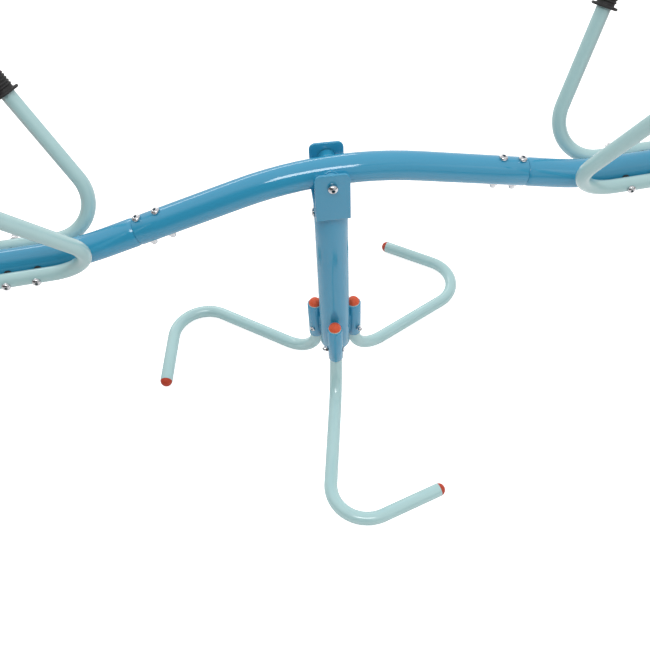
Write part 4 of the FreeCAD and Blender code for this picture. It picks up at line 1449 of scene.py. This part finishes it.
@dataclass
class Seats:
    """Moulded seats, with an upswept back and a rib that saddles the beam."""

    places: Places
    size: SeatSizes = SEAT

    def build(self) -> None:
        """Makes both seats and their bolts."""
        for side in SIDES:
            self._seat(side)
        self._fixings()

    def _place(self, side: str) -> Matrix:
        """Middle of a seat on the beam's axis, X towards the beam's end."""
        return self.places.level(side) @ shift(BEAM.end_run - self.size.inset)

    def _half_width(self, across: float) -> float:
        """Finds half of the seat's width, with its rounded corners.

        Args:
            across: Station along the seat.

        Returns:
            Half of the width there.
        """
        size = self.size
        back = size.dish_start + size.back_radius + size.shell
        taper = (across + size.front - size.corner) / (back - 2 * size.corner + size.front)
        full = size.front_half + (size.back_half - size.front_half) * min(max(taper, 0.0), 1.0)
        for end, sign in ((-size.front, 1), (back, -1)):
            depth = (across - end) * sign
            if depth < size.corner:
                inside = size.corner ** 2 - (size.corner - max(depth, 0.0)) ** 2
                full -= size.corner - math.sqrt(max(inside, 0.0))
        return full

    def _seat(self, side: str) -> None:
        """Makes a shell of one thickness on a bent profile, and the rib under it.

        Args:
            side: Which end of the beam.
        """
        size = self.size
        bed, half = BEAM.radius + size.lift, size.shell / 2
        route = Route(Vector((-size.front + half, 0, bed + size.shell / 2 - size.lip)), AXIS_Z,
                      AXIS_Y)
        route.run(size.lip - size.lip_bend)
        route.bend(size.lip_bend, 90, AXIS_Y)
        route.run(size.front + size.dish_start - half - size.lip_bend)
        route.bend(size.back_radius + half, 90, -AXIS_Y)
        length = route.length
        lip = [half * (1 - math.cos(math.pi / 2 * k / 6)) for k in range(7)]
        stations = lip + [length * k / 90 for k in range(91)
                          if lip[-1] < length * k / 90 < length - lip[-1]]
        stations += [length - m for m in reversed(lip)]
        rings = []
        for station in stations:
            point, heading, _ = route.at(station)
            up = heading.cross(AXIS_Y).normalized() * -1.0
            near = min(station, length - station)
            thin = math.sqrt(max(half ** 2 - max(half - near, 0.0) ** 2, 0.01))
            reach = self._half_width(min(max(point.x + half * up.x, -size.front + 0.5), 1e3))
            rings.append(self._section(point, up, reach, thin))
        Shape().loft(rings, capped=True).join(self._rib(bed)).place(self._place(side)).piece(
            "moulded_seat_" + side, ORANGE_SEAT, Body.BEAM, ["seat_" + side], sharp=50)

    def _section(self, point: Vector, up: Vector, reach: float, thin: float) -> list[Vector]:
        """Outlines the shell across: flat middle, dropped edges, round rims.

        Args:
            point: Middle of the shell there.
            up: Its direction of thickness.
            reach: Half of its width.
            thin: Half of its thickness.

        Returns:
            The closed ring.
        """
        outline = []
        count = 28
        for k in range(count + 1):
            place = 1 - 2 * k / count
            outline.append((math.copysign(abs(place) ** 0.8, place) * (reach - thin), 1.0))
        outline += [(-(reach - thin) - thin * math.sin(math.pi * k / 6),
                     math.cos(math.pi * k / 6)) for k in range(1, 6)]
        outline += [(y, -1.0) for y, _ in reversed(outline[:count + 1])]
        outline += [((reach - thin) + thin * math.sin(math.pi * k / 6),
                     -math.cos(math.pi * k / 6)) for k in range(1, 6)]
        ring = []
        for y, level in outline:
            edge = max(abs(y) / max(reach, 1.0) - 0.72, 0.0) / 0.28
            drop = self.size.edge_drop * edge ** 2
            ring.append(point + AXIS_Y * y + up * (level * thin - drop))
        return ring

    def _rib(self, bed: float) -> Shape:
        """Shapes the block under the shell, hollowed to the beam, with its ends rounded.

        Args:
            bed: Height of the shell's underside above the beam's axis.

        Returns:
            The block's shape.
        """
        size, radius = self.size, BEAM.radius + SEATING_GAP
        wide, foot, half = size.rib_width / 2, bed - size.rib_drop, size.rib_length / 2
        opening = math.degrees(math.acos(foot / radius))
        saddle = [(radius * math.sin(math.radians(a)), radius * math.cos(math.radians(a)))
                  for a in (opening * (1 - 2 * k / 24) for k in range(25))]
        ends = ((0.0, 2.5), (0.8, 0.8), (2.5, 0.0))
        rings = []
        for across, inset in ([(-half + a, i) for a, i in ends]
                              + [(half - a, i) for a, i in reversed(ends)]):
            side = wide - inset
            outline = [(side, foot + inset), (side, bed + 1.0), (-side, bed + 1.0),
                       (-side, foot + inset)]
            outline += [(y, max(z, foot + inset)) for y, z in reversed(saddle)]
            rings.append([Vector((size.bolt_shift + across, y, z)) for y, z in outline])
        return Shape().loft(rings, capped=True)

    def _fixings(self) -> None:
        """Makes the bolts and nuts of both seats."""
        size, top = self.size, BEAM.radius + self.size.lift + self.size.shell
        frames = [self._place(side) @ shift(size.bolt_shift + step * size.bolt_pitch)
                  for side in SIDES for step in (-0.5, 0.5)]
        fasten(lambda: dome_bolt(SEAT_BOLT), [frame @ shift(z=top) for frame in frames],
               "seat_bolt_domes", Body.BEAM, "seat_bolts")
        fasten(lambda: cap_nut(JOINT_NUT),
               [frame @ shift(z=-BEAM.radius) @ point_z(-AXIS_Z) for frame in frames],
               "seat_cap_nuts", Body.BEAM, "seat_nuts")


@dataclass
class Bumpers:
    """Rubber blocks under the beam's ends, with a pocket for each nut."""

    places: Places
    size: BumperSizes = BUMPER

    def build(self) -> None:
        """Makes both bumpers and their bolts."""
        grip = self.size.height - self.size.pocket_depth
        frames = [self.places.level(side) @ shift(BEAM.end_run - self.size.inset)
                  for side in SIDES]
        for side, frame in zip(SIDES, frames):
            self._block().place(frame).piece("rubber_bumper_" + side, BLACK_RUBBER, Body.BEAM,
                                             ["bumper_" + side])
        fasten(lambda: dome_bolt(JOINT_BOLT), [frame @ shift(z=BEAM.radius) for frame in frames],
               "bumper_bolt_domes", Body.BEAM, "bumper_bolts")
        fasten(lambda: open_nut(JOINT_NUT.flats, JOINT_NUT.height, NUT_BORE),
               [frame @ shift(z=-BEAM.radius - grip) @ point_z(-AXIS_Z) for frame in frames],
               "bumper_nuts_seen", Body.BEAM, "bumper_nuts")

    def _block(self) -> Shape:
        """Shapes a turned block whose top face follows the tube above it.

        Returns:
            The block's shape, the beam's axis at z = 0.
        """
        size, rim = self.size, self.size.rim
        foot = -(BEAM.radius + size.height)
        outline = [(size.bore, foot + size.pocket_depth), (size.pocket, foot + size.pocket_depth),
                   (size.pocket, foot + 0.8), (size.pocket + 0.8, foot), (size.foot - rim, foot),
                   (size.foot - rim * 0.3, foot + rim * 0.3), (size.foot, foot + rim)]
        rings = [[Vector((r * math.cos(a), r * math.sin(a), z)) for a in angles(64)]
                 for r, z in outline]
        for radius, drop in ((size.top, size.top_rim), (size.top - size.top_rim, 0.0),
                             (size.bore, 0.0)):
            rings.append([Vector((radius * math.cos(a), radius * math.sin(a),
                                  -math.sqrt(BEAM.radius ** 2 - (radius * math.sin(a)) ** 2)
                                  - SEATING_GAP - drop)) for a in angles(64)])
        return Shape().loft(rings, closed=True)


# Studio

@dataclass(frozen=True)
class Lamp:
    """Rectangular area light, in metres and watts."""

    name: str
    place: tuple[float, float, float]
    size: tuple[float, float]
    power: float


@dataclass(frozen=True)
class Studio:
    """Camera, floor and lights."""

    azimuth: float = -8.461
    elevation: float = 48.638
    roll: float = -0.071
    distance: float = 1645.646
    slide: tuple[float, float] = (48.937, 18.429)
    focal: float = 846.32
    centre: tuple[float, float] = (358.771, 280.112)
    aim: float = 250.0
    frame: float = 650.0
    sensor: float = 36.0
    far_clip: float = 100.0
    floor_reach: float = 30.0
    floor_albedo: float = 0.86
    floor_lift: float = 0.70
    # Painted reflection: the floor glows for glossy rays only, from the first strength on the
    # left to the second on the right, over the span in X below.
    floor_reflection_glow: tuple[float, float] = (0.0, 0.40)
    reflection_glow_span: tuple[float, float] = (-0.6, 0.6)
    # Painted shade: the floor's colour darkens between these two Y places down to the last value,
    # for light that falls off far in front.
    floor_shade_falloff: tuple[float, float, float] = (-0.4, -2.8, 0.30)
    tent: tuple[float, float, float] = (0.15, 0.60, 0.786)
    tent_edge: tuple[float, float] = (-0.05, 0.55)
    tent_light: tuple[float, float] = (0.09, 0.94)
    lamp_aim: tuple[float, float, float] = (0.0, 0.0, 0.55)
    lamps: tuple[Lamp, ...] = (
        Lamp("streak_softbox", (-0.31, -1.33, 2.62), (1.36, 0.68), 21.0),
        Lamp("rim_strip", (-0.73, 2.66, 1.74), (2.4, 0.32), 10.5),
        Lamp("right_fill", (1.50, -2.35, 1.80), (3.2, 2.4), 14.3))

    def build(self) -> None:
        """Makes the camera, the floor and the lights."""
        bpy.context.scene.view_settings.view_transform = "Standard"
        self._camera()
        self._floor()
        self._tent()
        for lamp in self.lamps:
            self._area(lamp)

    def _camera(self) -> None:
        """Makes the camera from its direction, distance and lens."""
        azimuth, elevation, roll = (math.radians(v) for v in
                                    (self.azimuth, self.elevation, self.roll))
        look = Vector((-math.sin(azimuth) * math.cos(elevation),
                       math.cos(azimuth) * math.cos(elevation), -math.sin(elevation)))
        right = look.cross(AXIS_Z).normalized()
        up = right.cross(look)
        place = Vector((0, 0, self.aim)) - look * self.distance
        place += right * self.slide[0] + up * self.slide[1]
        across = right * math.cos(roll) + up * math.sin(roll)
        over = -right * math.sin(roll) + up * math.cos(roll)
        data = bpy.data.cameras.new("camera")
        data.sensor_width = self.sensor
        data.lens = self.focal / self.frame * self.sensor
        data.shift_x = (self.frame / 2 - self.centre[0]) / self.frame
        data.shift_y = (self.centre[1] - self.frame / 2) / self.frame
        data.clip_end = self.far_clip
        camera = bpy.data.objects.new("camera", data)
        pose = Matrix((across, over, -look)).transposed().to_4x4()
        pose.translation = place * MM
        camera.matrix_world = pose
        bpy.context.scene.collection.objects.link(camera)
        bpy.context.scene.camera = camera

    def _floor(self) -> None:
        """Makes the floor: white to the camera, with its shadows; its colour darkens far in front
        as painted shade, and it glows in reflections, more on the right, as a painted reflection.
        """
        mesh = bpy.data.meshes.new("floor")
        reach = self.floor_reach
        mesh.from_pydata([(-reach, -reach, 0), (reach, -reach, 0), (reach, reach, 0),
                          (-reach, reach, 0)], [], [(0, 1, 2, 3)])
        floor = bpy.data.objects.new("floor", mesh)
        bpy.context.scene.collection.objects.link(floor)
        material = bpy.data.materials.new("studio_floor")
        material.use_nodes = True
        tree = material.node_tree
        place = add_node(tree, "TexCoord", {})
        parts = add_node(tree, "SeparateXYZ", {0: place.outputs["Object"]})
        # Painted shade: the floor's colour darkens far in front, for light that falls off there;
        # the lift below keeps it white to the camera.
        shaded_albedo = add_node(tree, "MapRange", {
            "Value": parts.outputs["Y"], "From Min": self.floor_shade_falloff[0],
            "From Max": self.floor_shade_falloff[1], "To Min": self.floor_albedo,
            "To Max": self.floor_shade_falloff[2]}).outputs["Result"]
        shader = feed(tree, tree.nodes["Principled BSDF"], {
            "Base Color": shaded_albedo, "Roughness": 1.0, "Specular IOR Level": 0.0})
        lift = add_node(tree, "Math", {0: self.floor_lift + self.floor_albedo, 1: shaded_albedo},
                        operation="SUBTRACT")
        # Painted reflection: a glow seen only by glossy rays, ramping up towards the right,
        # brightens what the paint reflects of the floor.
        reflection_glow_ramp = add_node(tree, "MapRange", {
            "Value": parts.outputs["X"], "From Min": self.reflection_glow_span[0],
            "From Max": self.reflection_glow_span[1], "To Min": self.floor_reflection_glow[0],
            "To Max": self.floor_reflection_glow[1]})
        path = add_node(tree, "LightPath", {})
        reflection_glow = add_node(tree, "Math", {0: path.outputs["Is Glossy Ray"],
                                           1: reflection_glow_ramp.outputs["Result"]}, operation="MULTIPLY")
        seen = add_node(tree, "Math", {0: path.outputs["Is Camera Ray"], 1: lift.outputs[0],
                                       2: reflection_glow.outputs[0]}, operation="MULTIPLY_ADD")
        glow = add_node(tree, "Emission", {"Color": (1.0, 1.0, 1.0, 1.0),
                                           "Strength": seen.outputs[0]})
        both = add_node(tree, "AddShader", {0: shader.outputs[0], 1: glow.outputs[0]})
        feed(tree, tree.nodes["Material Output"], {"Surface": both.outputs[0]})
        mesh.materials.append(material)

    def _tent(self) -> None:
        """Makes the world: a soft tent over the back of the set, white to the camera."""
        world = bpy.data.worlds.new("studio_tent")
        bpy.context.scene.world = world
        world.use_nodes = True
        tree = world.node_tree
        sky = add_node(tree, "TexCoord", {})
        toward = add_node(tree, "VectorMath", {0: sky.outputs["Generated"], 1: self.tent},
                          operation="DOT_PRODUCT")
        span = add_node(tree, "MapRange", {
            "Value": toward.outputs["Value"], "From Min": self.tent_edge[0],
            "From Max": self.tent_edge[1], "To Min": self.tent_light[0],
            "To Max": self.tent_light[1]}, interpolation_type="SMOOTHSTEP")
        path = add_node(tree, "LightPath", {})
        seen = add_node(tree, "Mix", {0: path.outputs["Is Camera Ray"],
                                      2: span.outputs["Result"], 3: 1.0})
        feed(tree, tree.nodes["Background"], {"Color": (1.0, 1.0, 1.0, 1.0),
                                              "Strength": seen.outputs[0]})

    def _area(self, lamp: Lamp) -> None:
        """Makes an area light that looks at the head.

        Args:
            lamp: The light's name, place, size and power.
        """
        data = bpy.data.lights.new(lamp.name, "AREA")
        data.shape = "RECTANGLE"
        data.size, data.size_y = lamp.size
        data.energy = lamp.power
        thing = bpy.data.objects.new(lamp.name, data)
        direction = Vector(self.lamp_aim) - Vector(lamp.place)
        thing.rotation_euler = direction.to_track_quat("-Z", "Y").to_euler()
        thing.location = lamp.place
        bpy.context.scene.collection.objects.link(thing)


def main() -> None:
    """Builds the dressed model and its studio, and reports each piece."""
    logging.basicConfig(level=logging.INFO, format="%(message)s")
    FRAME.update(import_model())
    places = Places.read()
    LOG.info("pivot %.2f mm, head floor %.2f mm", places.pivot, places.head_floor)
    for assembly in (Stand(places), Head(places), Beam(places), Handles(places), Seats(places),
                     Bumpers(places)):
        known = {thing.name for thing in bpy.data.objects}
        assembly.build()
        for thing in bpy.data.objects:
            if thing.name not in known:
                LOG.info("%s: %s", type(assembly).__name__, thing.name)
    Studio().build()
    bpy.context.view_layer.update()


if __name__ == "__main__":
    main()
